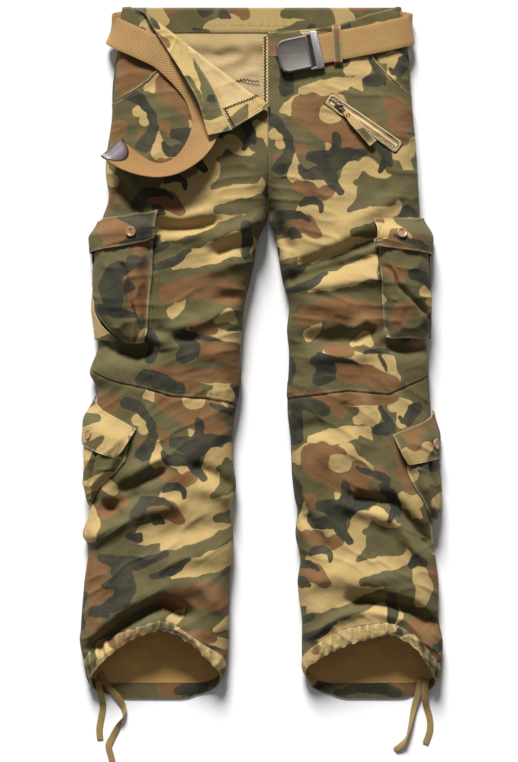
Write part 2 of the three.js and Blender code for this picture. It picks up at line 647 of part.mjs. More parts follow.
// Belt: its middle line from the buckle round the back to the leather tip.
// turn is the plan direction of its upper or outer edge, lean is how far that edge is raised.
const BELT_ROUTE = [
  { x: 50, y: 421, z: 36.4, turn: 102, lean: -6 },
  { x: 84, y: 428, z: 36, turn: 102, lean: -6 },
  { x: 129, y: 437, z: 34.8, turn: 102, lean: -6 },
  { x: 160, y: 443, z: 33.4, turn: 102, lean: -5 },
  { x: 186, y: 449, z: 31, turn: 101, lean: -3 },
  { x: 204, y: 454, z: 26, turn: 98, lean: 0 },
  { x: 213, y: 458, z: 15.5, turn: 95, lean: 0 },
  { x: 206, y: 461, z: 5.9, turn: 92, lean: 0 },
  { x: 190, y: 463, z: 3, turn: 90, lean: 0 },
  { x: 120, y: 464, z: 2.9, turn: 90, lean: 0 },
  { x: 0, y: 464, z: 2.9, turn: 90, lean: 0 },
  { x: -120, y: 464, z: 2.9, turn: 90, lean: 0 },
  { x: -190, y: 463, z: 3, turn: 90, lean: 0 },
  { x: -205, y: 461, z: 5.9, turn: 86, lean: 0 },
  { x: -212, y: 458, z: 15, turn: 78, lean: 0 },
  { x: -206, y: 452, z: 25, turn: 70, lean: -2 },
  { x: -190, y: 444, z: 31.5, turn: 65, lean: -4 },
  { x: -168, y: 434, z: 35, turn: 63, lean: -5 },
  { x: -140, y: 420, z: 37.6, turn: 62, lean: -5 },
  { x: -119, y: 402, z: 40, turn: 53, lean: -4 },
  { x: -104, y: 386, z: 42.4, turn: 42, lean: -2 },
  { x: -91, y: 369, z: 45, turn: 26, lean: 2 },
  { x: -82, y: 348, z: 49, turn: 9, lean: 8 },
  { x: -77, y: 325, z: 55.5, turn: -4, lean: 18 },
  { x: -82, y: 303, z: 61.5, turn: -22, lean: 26 },
  { x: -92, y: 285, z: 65.5, turn: -38, lean: 38 },
  { x: -106, y: 270, z: 69, turn: -55, lean: 50 },
  { x: -124, y: 259, z: 71.5, turn: -72, lean: 58 },
  { x: -146, y: 255, z: 72.5, turn: -92, lean: 60 },
  { x: -168, y: 260, z: 70.5, turn: -110, lean: 52 },
  { x: -188, y: 270, z: 66, turn: -122, lean: 40 },
  { x: -202, y: 280, z: 61.5, turn: -130, lean: 33 },
  { x: -211, y: 288, z: 59, turn: -134, lean: 30 },
];

// A smooth curve through a list of stations, read at a share of the whole.
function station(route, share) {
  const at = share * (route.length - 1);
  const i = Math.min(route.length - 2, Math.floor(at));
  const k = at - i;
  const pick = (n) => route[Math.min(route.length - 1, Math.max(0, n))];
  const made = {};
  for (const name of Object.keys(route[0])) {
    const [a, b, c, d] = [pick(i - 1)[name], pick(i)[name], pick(i + 1)[name], pick(i + 2)[name]];
    const bend = (2 * a - 5 * b + 4 * c - d) * k * k + (3 * b - a - 3 * c + d) * k * k * k;
    made[name] = b + ((c - a) * k + bend) / 2;
  }
  return made;
}

// A flat strap along a route. side runs from -1 to 1 across it, and lift is off its middle plane.
function onStrap(route, share, side, lift, width) {
  const here = station(route, share);
  const before = station(route, Math.max(0, share - 0.002));
  const after = station(route, Math.min(1, share + 0.002));
  const ahead = new THREE.Vector3(after.x - before.x, after.y - before.y, after.z - before.z).normalize();
  const turn = THREE.MathUtils.degToRad(here.turn);
  const lean = THREE.MathUtils.degToRad(here.lean);
  const acrossWay = new THREE.Vector3(Math.cos(turn) * Math.cos(lean), Math.sin(turn) * Math.cos(lean), Math.sin(lean));
  acrossWay.addScaledVector(ahead, -acrossWay.dot(ahead)).normalize();
  const off = ahead.clone().cross(acrossWay).normalize();
  return new THREE.Vector3(here.x, here.y, here.z)
    .addScaledVector(acrossWay, (side * width) / 2)
    .addScaledVector(off, lift);
}

const TIP_FROM = 0.972;
{
  const face = (u, v, outer) => onStrap(BELT_ROUTE, u, v, outer ? BELT.wall / 2 : -BELT.wall / 2, BELT.width);
  add("belt_webbing", wall(face, steps(0, TIP_FROM - 0.0006, 84), [-1, 1]), webbing);
  const tipFace = (u, v, outer) => {
    const wide = BELT.width + 2;
    return onStrap(BELT_ROUTE, u, v, outer ? 1.9 : -1.9, wide);
  };
  add("belt_tip", wall(tipFace, steps(TIP_FROM, 1, 4), steps(-1, 1, 4)), leather);
}

// Buckle: a plate over the end of the webbing, with its clamp bar at the side the webbing enters
const BUCKLE = { x: 53, y: 421, z: 38.4, turn: 12, lean: -6, height: 48 };
function roundedPlate(width, height, corner, depth, bevel) {
  const shape = new THREE.Shape();
  const [w, h] = [width / 2 - bevel, height / 2 - bevel];
  shape.moveTo(-w + corner, -h);
  shape.lineTo(w, -h);
  shape.lineTo(w, h);
  shape.lineTo(-w + corner, h);
  shape.quadraticCurveTo(-w, h, -w, h - corner);
  shape.lineTo(-w, -h + corner);
  shape.quadraticCurveTo(-w, -h, -w + corner, -h);
  return new THREE.ExtrudeGeometry(shape, {
    depth: depth - bevel, bevelEnabled: true, bevelThickness: bevel / 2, bevelSize: bevel, bevelSegments: 2, curveSegments: 4,
  });
}
function placeOnBelt(mesh, run, rise) {
  const turn = new THREE.Quaternion().setFromAxisAngle(new THREE.Vector3(0, 0, 1), THREE.MathUtils.degToRad(BUCKLE.turn));
  const lean = new THREE.Quaternion().setFromAxisAngle(new THREE.Vector3(1, 0, 0), THREE.MathUtils.degToRad(BUCKLE.lean));
  mesh.quaternion.multiplyQuaternions(turn, lean);
  mesh.position.set(run, 0, rise).applyQuaternion(mesh.quaternion).add(new THREE.Vector3(BUCKLE.x, BUCKLE.y, BUCKLE.z));
}
placeOnBelt(add("buckle_plate", roundedPlate(45, BUCKLE.height, 9, 4, 1.6), gunmetal), -7, 0.4);
placeOnBelt(add("buckle_bar", new THREE.BoxGeometry(11, 54, 4.6), gunmetal), 26, 1.5);

// Belt loops: one on the left front that shows and three under the back
const LOOP = { width: 12, wall: 1.2 };
{
  const face = (u, v, outer) => {
    const y = mix(463, 405, v);
    const x = mix(101, 101 + LOOP.width, u) + (v - 0.5) * 3;
    const over = smooth(v / 0.12) * smooth((1 - v) / 0.085);
    const low = frontPoint(left, acrossAt(left, x, y), y).z + 0.8;
    const z = mix(low, 37.9 - (y - 437) * 0.12, over);
    return new THREE.Vector3(x, y, outer ? z + LOOP.wall : z);
  };
  add("belt_loop_front_left", wall(face, [0, 1], [0, 0.04, 0.08, 0.12, 0.3, 0.6, 0.915, 0.94, 0.965, 1]), cloth);
}
for (const [name, x] of [["right", -120], ["centre", CENTRE_X], ["left", 140]]) {
  const loop = new THREE.BoxGeometry(LOOP.width, 50, 1.3);
  add(`belt_loop_back_${name}`, loop, cloth).position.set(x, 463, 0.65);
}

// Pockets
// A point off the front at a share across and a y. Past the side seam it runs on round the side to the back.
function offFront(leg, grid, across, y, lift) {
  if (across >= 0.0007) {
    const { point, normal } = grid.lookup(across, y);
    return point.addScaledVector(normal, lift);
  }
  const round = -across * (BACK_FROM / TOP_FROM) * 1.2;
  const point = backPoint(leg, round, y).addScaledVector(faceNormal(backPoint, leg, round, y, -1), lift + 4);
  point.z = Math.max(point.z, lift * 0.3 + 0.4);
  return point;
}
const plump = (k) => 1 - Math.abs(2 * k - 1) ** 3;

// The bellows pockets and their buttoned flaps. from and to are shares across the front. Each edge gives its y at
// the outer and the inner side. sewn is how far its edge lies off the front. button is its share across the flap, its share down it and how far it stands off.
const POCKETS = [
  { name: "cargo_pocket_right", leg: right, grid: upper.right, from: -0.06, to: 0.37,
    top: [158, 158], bottom: [18, 16], loft: 11, sewn: 1.6,
    flap: { from: -0.05, to: 0.372, top: [184, 199], bottom: [138, 157] }, button: [0.72, 0.6, 0.15] },
  { name: "cargo_pocket_left", leg: left, grid: upper.left, from: -0.06, to: 0.33,
    top: [158, 160], bottom: [18, 22], loft: 11, sewn: 0.9,
    flap: { from: -0.05, to: 0.352, top: [190, 189], bottom: [134, 152] }, button: [0.62, 0.5, -0.55] },
  { name: "calf_pocket_right", leg: right, grid: lower.right, from: -0.035, to: 0.2,
    top: [-96, -128], bottom: [-212, -208], loft: 9, sewn: 0.9,
    flap: { from: -0.05, to: 0.35, top: [-62, -108], bottom: [-124, -152] }, button: [0.4, 0.66, 0.15], skew: 0.1 },
  { name: "calf_pocket_left", leg: left, grid: lower.left, from: -0.06, to: 0.22,
    top: [-104, -140], bottom: [-236, -226], loft: 9, sewn: 1.1,
    flap: { from: -0.05, to: 0.31, top: [-82, -116], bottom: [-146, -160] }, button: [0.36, 0.62, 0.28], skew: 0.08 },
];
const POCKET_WALL = 1.6;
const FLAP_SEWN = 0.8; // how far a flap's sewn edge lies off its panel

// The columns of a panel between two shares across, so that what is sewn on follows its facets.
const columnsOf = (grid, from, to) => [from, ...grid.us.filter((u) => u > from + 0.01 && u < to - 0.01), to];
const buttonProfile = [[0, 0], [7.5, 0], [7.5, 1.6], [6.4, 2.5], [5, 1.7], [0, 1.7]];

for (const pocket of POCKETS) {
  const { leg, grid, flap } = pocket;
  const bodyFace = (across, v, outer) => {
    const u = (across - pocket.from) / (pocket.to - pocket.from);
    const y = mix(mix(...pocket.top, u), mix(...pocket.bottom, u), v);
    const lift = pocket.sewn + pocket.loft * plump(u) * plump(mix(0.1, 1, v));
    return offFront(leg, grid, across, y, lift + (outer ? POCKET_WALL : 0));
  };
  add(pocket.name, wall(bodyFace, columnsOf(grid, pocket.from, pocket.to), steps(0, 1, 8)), cloth);

  const flapFace = (across, v, outer) => {
    const u = (across - flap.from) / (flap.to - flap.from);
    const y = mix(mix(...flap.top, u), mix(...flap.bottom, u), v);
    const rise = mix(FLAP_SEWN, pocket.loft + 3.4, smooth(v * 1.8));
    const taper = mix(0.62, 1, smooth(Math.min(u, 1 - u) * 5));
    const lift = rise * mix(1, taper, v) + (outer ? POCKET_WALL : 0);
    return offFront(leg, grid, across - (pocket.skew ?? 0) * v * u, y, lift);
  };
  add(`${pocket.name}_flap`, wall(flapFace, columnsOf(grid, flap.from, flap.to), steps(0, 1, 5)), cloth);

  const [share, v, seat] = pocket.button;
  const u = mix(flap.from, flap.to, share);
  const over = flapFace(u + 0.03, v, true).sub(flapFace(u - 0.03, v, true));
  const down = flapFace(u, v + 0.1, true).sub(flapFace(u, v - 0.1, true));
  const normal = down.cross(over).multiplyScalar(leg.inward).normalize();
  const button = new THREE.LatheGeometry(buttonProfile.map(([r, h]) => new THREE.Vector2(r, h)), 12);
  const mesh = add(`${pocket.name}_button`, button, buttonResin);
  mesh.quaternion.setFromUnitVectors(new THREE.Vector3(0, 1, 0), normal);
  mesh.position.copy(flapFace(u, v, true)).addScaledVector(normal, seat);
}

// The slanted zip pocket on the left front: a stitched welt, the zip tape in it, the slider and its pull
const ZIP = { x: 144, y: 323, slope: 35, length: 122, width: 18, lip: 3.4 };
const zipAngle = THREE.MathUtils.degToRad(ZIP.slope);
const zipAlong = new THREE.Vector2(Math.cos(zipAngle), -Math.sin(zipAngle));
const zipAcross = new THREE.Vector2(Math.sin(zipAngle), Math.cos(zipAngle));
function offZip(run, side, lift) {
  const x = ZIP.x + zipAlong.x * run + zipAcross.x * side;
  const y = ZIP.y + zipAlong.y * run + zipAcross.y * side;
  const { point, normal } = upper.left.lookup(acrossAt(left, x, y), y);
  return point.addScaledVector(normal, lift);
}
{
  const [half, deep] = [ZIP.length / 2, ZIP.width / 2];
  const ring = [];
  for (const k of steps(-1, 1, 9)) ring.push([k * (half - 4), deep]);
  ring.push([half, deep - 4], [half, 4 - deep]);
  for (const k of steps(1, -1, 9)) ring.push([k * (half - 4), -deep]);
  ring.push([-half, 4 - deep], [-half, deep - 4]);
  const us = ring.map((_, i) => i);
  const face = (u, v, outer) => {
    const [run, side] = ring[u];
    const inset = v * ZIP.lip;
    const inRun = run - Math.sign(run) * Math.min(Math.abs(run), inset * (Math.abs(run) > half - 5 ? 1 : 0));
    const inSide = side - Math.sign(side) * inset * (Math.abs(side) > deep - 1 ? 1 : 0.4);
    return offZip(inRun, inSide, outer ? 3.1 : 1.7);
  };
  add("zip_welt", wall(face, us, [0, 1], true), cloth);
  const tapeFace = (u, v, outer) => offZip(u * (half - 4.2), v * (deep - 1), outer ? 1.3 : 0.4);
  add("zip_tape", wall(tapeFace, steps(-1, 1, 10), [-1, 0, 1]), zipTapeCloth);
}
// The slider rides near the upper end of the teeth. A ring through its bridge carries the pull.
const SLIDER = { run: -42, lift: 2, length: 12.5, width: 8.8, depth: 2.6 };
const BRIDGE = { length: 8.4, width: 2.6, clear: 2.4, wall: 1 };
const PULL = { slope: 49, ring: 6.5, arm: 1.2, half: 3.9, thick: 1.2, strap: 60, width: 12 };
const block = (length, width, depth, x, y, z) => {
  const box = new THREE.BoxGeometry(length, width, depth);
  box.translate(x, y, z + depth / 2);
  return solidOf(box);
};
// A place on the zip as a matrix: X along a plan direction, Z off the cloth.
function zipPlace(slope, lift) {
  const run = offZip(SLIDER.run + 6, 0, 0).sub(offZip(SLIDER.run - 6, 0, 0));
  const up = run.clone().cross(offZip(SLIDER.run, 4, 0).sub(offZip(SLIDER.run, -4, 0))).normalize();
  const angle = THREE.MathUtils.degToRad(slope);
  const ahead = new THREE.Vector3(Math.cos(angle), -Math.sin(angle), 0);
  ahead.addScaledVector(up, -ahead.dot(up)).normalize();
  const place = new THREE.Matrix4().makeBasis(ahead, up.clone().cross(ahead), up);
  return place.setPosition(offZip(SLIDER.run, 0, 0).addScaledVector(up, lift));
}
{
  const { length, width, depth } = SLIDER;
  const plan = [[-length / 2, -width / 2], [0, -width / 2], [length / 2, -width / 4], [length / 2, width / 4],
    [0, width / 2], [-length / 2, width / 2]];
  const arch = block(BRIDGE.length, BRIDGE.width, BRIDGE.clear + BRIDGE.wall, 0, 0, depth - 0.1)
    .subtract(block(BRIDGE.length - 2 * BRIDGE.wall, BRIDGE.width + 2, BRIDGE.clear, 0, 0, depth));
  add("zip_slider", geometryOf(solidOf(prism(plan, 0, depth)).add(arch)), darkMetal)
    .applyMatrix4(zipPlace(ZIP.slope, SLIDER.lift));

  const hinge = zipPlace(PULL.slope, SLIDER.lift + SLIDER.depth + BRIDGE.clear / 2);
  const { ring, arm, half, thick } = PULL;
  const hole = block(ring - 2 * arm, 2 * (half - arm), thick * 2, ring / 2 - arm / 2, 0, -thick);
  const plate = block(ring, 2 * half, thick, ring / 2 - arm / 2, 0, -thick / 2).subtract(hole);
  const tongue = block(6, 4.4, thick, ring + 2.2, 0, -thick / 2);
  add("zip_pull_link", geometryOf(plate.add(tongue)), darkMetal).applyMatrix4(hinge);
  const strapFace = (u, v, outer) => {
    const wide = mix(0.6, 1, smooth(u * 3)) * PULL.width / 2;
    const sag = 2.2 * Math.sin(Math.PI * u);
    return new THREE.Vector3(ring + 5.5 + u * PULL.strap, v * wide, sag + (outer ? 0.9 : -0.9));
  };
  add("zip_pull_strap", wall(strapFace, steps(0, 1, 8), [-1, 1]), cloth).applyMatrix4(hinge);
}

// Ties: the free ends of the tape in each hem casing, lying on the surface. roll turns the tape about its length.
const TIES = {
  tie_right_long: [
    { x: -229, y: -455, z: 4.2, turn: 35, lean: 0 },
    { x: -220, y: -471, z: 4.6, turn: 35, lean: 0 },
    { x: -204, y: -488, z: 5.2, turn: 40, lean: 0 },
    { x: -196, y: -503, z: 3.2, turn: 15, lean: 20 },
    { x: -196, y: -516, z: 4.8, turn: -5, lean: 84 },
    { x: -203, y: -530, z: 3, turn: -28, lean: 150 },
    { x: -211, y: -545, z: 1.2, turn: -28, lean: 180 },
    { x: -217, y: -558, z: 1.6, turn: -15, lean: 188 },
    { x: -214, y: -571, z: 1.2, turn: 8, lean: 180 },
    { x: -211, y: -583, z: 1.2, turn: 12, lean: 180 },
  ],
  tie_right_short: [
    { x: -231, y: -466, z: 12.3, turn: 30, lean: 0 },
    { x: -229, y: -480, z: 11.7, turn: 24, lean: 0 },
    { x: -226, y: -492, z: 7, turn: 8, lean: 0 },
    { x: -225, y: -503, z: 1.6, turn: 0, lean: 0 },
    { x: -227, y: -516, z: 1.2, turn: -8, lean: 0 },
    { x: -230, y: -534, z: 1.2, turn: -8, lean: 0 },
    { x: -229, y: -549, z: 1.2, turn: 6, lean: 0 },
  ],
  tie_left_long: [
    { x: 226, y: -462, z: 5.8, turn: -20, lean: 0 },
    { x: 222, y: -484, z: 5.8, turn: -20, lean: 10 },
    { x: 216, y: -506, z: 2.6, turn: -16, lean: 35 },
    { x: 211, y: -528, z: 5.2, turn: -12, lean: 62 },
    { x: 206, y: -546, z: 5.6, turn: -20, lean: 76 },
    { x: 199, y: -557, z: 3.6, turn: -40, lean: 30 },
    { x: 190, y: -565, z: 1.2, turn: -50, lean: 0 },
  ],
  tie_left_short: [
    { x: 234, y: -464, z: 9, turn: 8, lean: 0 },
    { x: 232, y: -479, z: 9.6, turn: 0, lean: 0 },
    { x: 232, y: -492, z: 7, turn: 10, lean: 6 },
    { x: 235, y: -505, z: 2.4, turn: 18, lean: 10 },
    { x: 239, y: -520, z: 1.6, turn: 8, lean: 10 },
    { x: 239, y: -537, z: 1.2, turn: -14, lean: 0 },
    { x: 233, y: -555, z: 1.2, turn: -20, lean: 0 },
  ],
};
for (const [name, route] of Object.entries(TIES)) {
  const section = [[0.6, 1], [0.9, 0.6], [1, 0], [0.9, -0.6], [0.6, -1], [-0.6, -1], [-1, 0], [-0.6, 1]];
  const count = Math.round((route.length - 1) * 1.6);
  const rings = steps(0, 1, count);
  const face = (u, v) => {
    const [side, lift] = section[u];
    return onStrap(route, v, side, (lift * TAPE.wall) / 2, TAPE.width);
  };
  const points = rings.flatMap((v) => section.map((_, u) => face(u, v)));
  const triangles = [];
  const n = section.length;
  for (let i = 0; i < rings.length - 1; i++) {
    for (let j = 0; j < n; j++) {
      const [a, b, c, d] = [i * n + j, i * n + ((j + 1) % n), (i + 1) * n + ((j + 1) % n), (i + 1) * n + j];
      triangles.push(a, b, c, a, c, d);
    }
  }
  const last = (rings.length - 1) * n;
  for (let j = 1; j < n - 1; j++) triangles.push(0, j + 1, j, last, last + j, last + j + 1);
  add(name, outwards(points.flatMap((point) => point.toArray()), triangles), cottonTape);
}

export default trousers;
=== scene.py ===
import math
from functools import partial

import bmesh
import bpy
import numpy as np
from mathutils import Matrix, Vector


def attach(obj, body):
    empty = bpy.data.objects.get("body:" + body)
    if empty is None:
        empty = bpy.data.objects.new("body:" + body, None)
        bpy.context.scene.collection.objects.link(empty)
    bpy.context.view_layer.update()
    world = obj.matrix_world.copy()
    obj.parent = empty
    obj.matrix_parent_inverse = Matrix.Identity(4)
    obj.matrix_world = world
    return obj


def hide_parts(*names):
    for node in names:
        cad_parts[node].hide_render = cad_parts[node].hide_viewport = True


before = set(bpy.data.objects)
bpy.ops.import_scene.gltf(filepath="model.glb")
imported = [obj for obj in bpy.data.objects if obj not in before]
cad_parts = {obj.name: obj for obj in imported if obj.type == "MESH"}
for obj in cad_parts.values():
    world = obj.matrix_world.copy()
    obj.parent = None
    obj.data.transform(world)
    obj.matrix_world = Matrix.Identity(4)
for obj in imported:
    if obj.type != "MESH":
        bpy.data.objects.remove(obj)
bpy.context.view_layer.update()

# Camera: straight above, framed as in the photo
PIXEL = 1.42  # mm of the garment for one pixel of the 518 x 762 frame
FRAME_HEIGHT = 762 * PIXEL
CAMERA = {"x": -3.4, "y": -40.5, "z": 6000}
SENSOR = 36


def make_camera():
    data = bpy.data.cameras.new("camera")
    data.sensor_width = SENSOR
    data.lens = SENSOR * CAMERA["z"] / FRAME_HEIGHT
    camera = bpy.data.objects.new("camera", data)
    camera.location = [CAMERA[axis] / 1000 for axis in "xyz"]
    bpy.context.collection.objects.link(camera)
    bpy.context.scene.camera = camera


make_camera()
bpy.context.scene.view_settings.view_transform = "Standard"

# Driving dimensions
CLOTH = 1.1  # wall of a cloth piece as it is drawn here
BAND = 2.4  # wall of the doubled waistband
WAISTBAND = 35
WAIST_TOP = 489
RIGHT_WAIST = {"from": -197, "fall": 0.1706}  # where the right waist's edge starts to fall, and its slope
CENTRE_X = 9
CROTCH_Y = 179
BACK_LIFT = 5
SEAM_GAP = 0.3
BELT = {"width": 42, "wall": 2.4}
TAPE = {"width": 9, "wall": 1.3}
FOLD = {"x": -26.5, "y": 367.4, "slope": math.radians(37.5), "radius": 4.6, "lift": 17}


def rows(names, table):
    """A table with named columns, as an array for each column."""
    return {name: np.array(values, float) for name, values in zip(names, zip(*table))}


# The outline of each leg from the waist down: y, the outer side seam, the inseam
RIGHT_OUTLINE = rows(("y", "outer", "inner"), [
    (490, -197, 9), (472, -200, 9), (437, -202, 9), (407, -207, 9), (373, -211, 9), (330, -212, 9),
    (273, -220, 9), (248, -220, 9), (219, -216, 9), (185, -226, 8), (168, -227, -1), (151, -227, -7),
    (117, -226, -12), (66, -227, -24), (15, -230, -28), (-2, -233, -31), (-28, -243, -28),
    (-53, -232, -31), (-104, -238, -40), (-155, -241, -40), (-190, -242, -36), (-224, -243, -44),
    (-258, -253, -40), (-275, -245, -40), (-326, -251, -45), (-394, -256, -46), (-411, -257, -47),
    (-445, -250, -50), (-462, -246, -56), (-479, -236, -68), (-491, -214, -88),
])
LEFT_OUTLINE = rows(("y", "outer", "inner"), [
    (490, 198, 9), (472, 201, 9), (437, 206, 9), (407, 210, 9), (363, 212, 9), (310, 217, 9),
    (273, 220, 9), (219, 223, 9), (185, 225, 12), (168, 226, 19), (134, 226, 24), (100, 227, 30),
    (66, 228, 39), (32, 231, 36), (-2, 235, 39), (-53, 238, 37), (-87, 240, 37), (-121, 238, 41),
    (-173, 240, 43), (-207, 245, 47), (-224, 244, 51), (-258, 242, 48), (-292, 247, 55),
    (-326, 251, 51), (-377, 251, 57), (-411, 257, 57), (-445, 254, 58), (-462, 250, 64),
    (-479, 240, 74), (-491, 220, 96),
])
# The section of a leg: its height, the height of its side seam, how far its sides round in
SECTIONS = rows(("y", "height", "seam", "round"), [
    (491, 24, 13, 15), (452, 26, 13, 17), (405, 32, 14, 24), (350, 40, 15, 30), (270, 47, 16, 34),
    (180, 50, 16, 36), (60, 50, 16, 36), (-70, 45, 16, 34), (-160, 48, 16, 34), (-260, 47, 16, 34),
    (-360, 46, 15, 33), (-430, 42, 14, 30), (-491, 34, 13, 26),
])
# The main folds: path, half width and rise, negative for a trough
RIGHT_FOLDS = [
    ([[-202, 245], [-172, 196]], 9, -6), ([[-222, 222], [-196, 206]], 10, 4),
    ([[-158, 198], [-120, 190], [-78, 196]], 9, 6), ([[-148, 176], [-100, 176], [-62, 184]], 8, -7),
    ([[-132, 162], [-86, 162]], 9, 4), ([[0, 190], [-36, 170], [-72, 160]], 10, 6),
    ([[-14, 158], [-44, 148], [-66, 140]], 9, -8), ([[-26, 128], [-76, 112]], 10, 4),
    ([[-34, 78], [-60, 76]], 8, -5), ([[-34, 64], [-80, 46], [-120, 30], [-150, 10]], 11, 6),
    ([[-92, 22], [-120, 22], [-152, 30]], 9, -6), ([[-204, 8], [-150, 0]], 14, -9),
    ([[-40, 6], [-100, -8]], 14, 4), ([[-200, -196], [-164, -178], [-136, -164]], 9, -9),
    ([[-180, -172], [-140, -150]], 11, 6), ([[-222, -224], [-172, -200]], 9, -7),
    ([[-242, -262], [-160, -224], [-118, -216]], 11, 7),
    ([[-42, -192], [-64, -174], [-100, -160]], 10, -7), ([[-40, -206], [-90, -190]], 12, 4),
    ([[-150, -262], [-50, -244]], 14, -4), ([[-150, -300], [-60, -284]], 15, 4),
    ([[-238, -420], [-196, -384], [-166, -366], [-138, -354], [-106, -370]], 9.5, -19.5),
    ([[-230, -392], [-170, -344], [-120, -328], [-92, -330]], 16, 5),
    ([[-90, -324], [-60, -360]], 12, 5), ([[-206, 2], [-176, -4], [-150, 6]], 9, -9),
    ([[-152, 176], [-150, 12]], 3.4, -1.6), ([[-196, -232], [-222, -214]], 8, -6),
]
LEFT_FOLDS = [
    ([[10, 205], [42, 140]], 9, -7), ([[196, 220], [150, 196], [104, 168]], 12, 5),
    ([[168, 160], [104, 138], [56, 122]], 9, -8), ([[150, 176], [92, 150]], 9, 4),
    ([[170, 138], [92, 116], [36, 100]], 9, -7), ([[172, 106], [68, 92]], 11, 6),
    ([[130, 60], [60, 70]], 12, 4), ([[172, 32], [104, 22], [62, 18]], 10, -8),
    ([[126, 30], [148, 44], [170, 28]], 8, 6), ([[80, 6], [136, 16]], 9, -6),
    ([[70, -8], [150, -4]], 10, 4), ([[144, -64], [152, -104]], 12, 5),
    ([[118, -66], [128, -104]], 9, -4), ([[44, -112], [92, -104]], 12, -5),
    ([[76, -150], [140, -132]], 15, 4),
    ([[130, -206], [184, -212], [210, -240], [234, -276]], 10, -12),
    ([[112, -214], [186, -234], [226, -286]], 11, 7), ([[60, -228], [92, -280]], 10, -7),
    ([[62, -330], [130, -300]], 14, 4),
    ([[128, -350], [172, -354], [212, -364], [238, -384]], 10, -17),
    ([[66, -402], [108, -374], [148, -360], [206, -376], [238, -416]], 8, 5),
    ([[110, -322], [200, -318]], 15, 5), ([[176, 10], [206, 0], [232, 8]], 9, -9),
    ([[168, 176], [172, 20]], 3.4, -1.6),
]
# The belt from the buckle round the back to its tip: x, y, z, turn and lean
BELT_ROUTE = rows(("x", "y", "z", "turn", "lean"), [
    (50, 421, 36.4, 102, -6), (84, 428, 36, 102, -6), (129, 437, 34.8, 102, -6),
    (160, 443, 33.4, 102, -5), (186, 449, 31, 101, -3), (204, 454, 26, 98, 0), (213, 458, 15.5, 95, 0),
    (206, 461, 5.9, 92, 0), (190, 463, 3, 90, 0), (120, 464, 2.9, 90, 0), (0, 464, 2.9, 90, 0),
    (-120, 464, 2.9, 90, 0), (-190, 463, 3, 90, 0), (-205, 461, 5.9, 86, 0), (-212, 458, 15, 78, 0),
    (-206, 452, 25, 70, -2), (-190, 444, 31.5, 65, -4), (-168, 434, 35, 63, -5),
    (-140, 420, 37.6, 62, -5), (-119, 402, 40, 53, -4), (-104, 386, 42.4, 42, -2),
    (-91, 369, 45, 26, 2), (-82, 348, 49, 9, 8), (-77, 325, 55.5, -4, 18), (-82, 303, 61.5, -22, 26),
    (-92, 285, 65.5, -38, 38), (-106, 270, 69, -55, 50), (-124, 259, 71.5, -72, 58),
    (-146, 255, 72.5, -92, 60), (-168, 260, 70.5, -110, 52), (-188, 270, 66, -122, 40),
    (-202, 280, 61.5, -130, 33), (-211, 288, 59, -134, 30),
])
# The ties: x, y and z in metres, turn and lean in degrees
TIES = {
    "tie_right_long": [
        (-0.229, -0.455, 0.0042, 35, 0), (-0.22, -0.471, 0.0046, 35, 0),
        (-0.204, -0.488, 0.0052, 40, 0), (-0.196, -0.503, 0.0032, 15, 20),
        (-0.196, -0.516, 0.0048, -5, 84), (-0.203, -0.53, 0.003, -28, 150),
        (-0.211, -0.545, 0.0012, -28, 180), (-0.217, -0.558, 0.0016, -15, 188),
        (-0.214, -0.571, 0.0012, 8, 180), (-0.211, -0.583, 0.0012, 12, 180),
    ],
    "tie_right_short": [
        (-0.231, -0.466, 0.0123, 30, 0), (-0.229, -0.48, 0.0117, 24, 0), (-0.226, -0.492, 0.007, 8, 0),
        (-0.225, -0.503, 0.0016, 0, 0), (-0.227, -0.516, 0.0012, -8, 0),
        (-0.23, -0.534, 0.0012, -8, 0), (-0.229, -0.549, 0.0012, 6, 0),
    ],
    "tie_left_long": [
        (0.226, -0.462, 0.0058, -20, 0), (0.222, -0.484, 0.0058, -20, 10),
        (0.216, -0.506, 0.0026, -16, 35), (0.211, -0.528, 0.0052, -12, 62),
        (0.206, -0.546, 0.0056, -20, 76), (0.199, -0.557, 0.0036, -40, 30),
        (0.19, -0.565, 0.0012, -50, 0),
    ],
    "tie_left_short": [
        (0.234, -0.464, 0.009, 8, 0), (0.232, -0.479, 0.0096, 0, 0), (0.232, -0.492, 0.007, 10, 6),
        (0.235, -0.505, 0.0024, 18, 10), (0.239, -0.52, 0.0016, 8, 10),
        (0.239, -0.537, 0.0012, -14, 0), (0.233, -0.555, 0.0012, -20, 0),
    ],
}

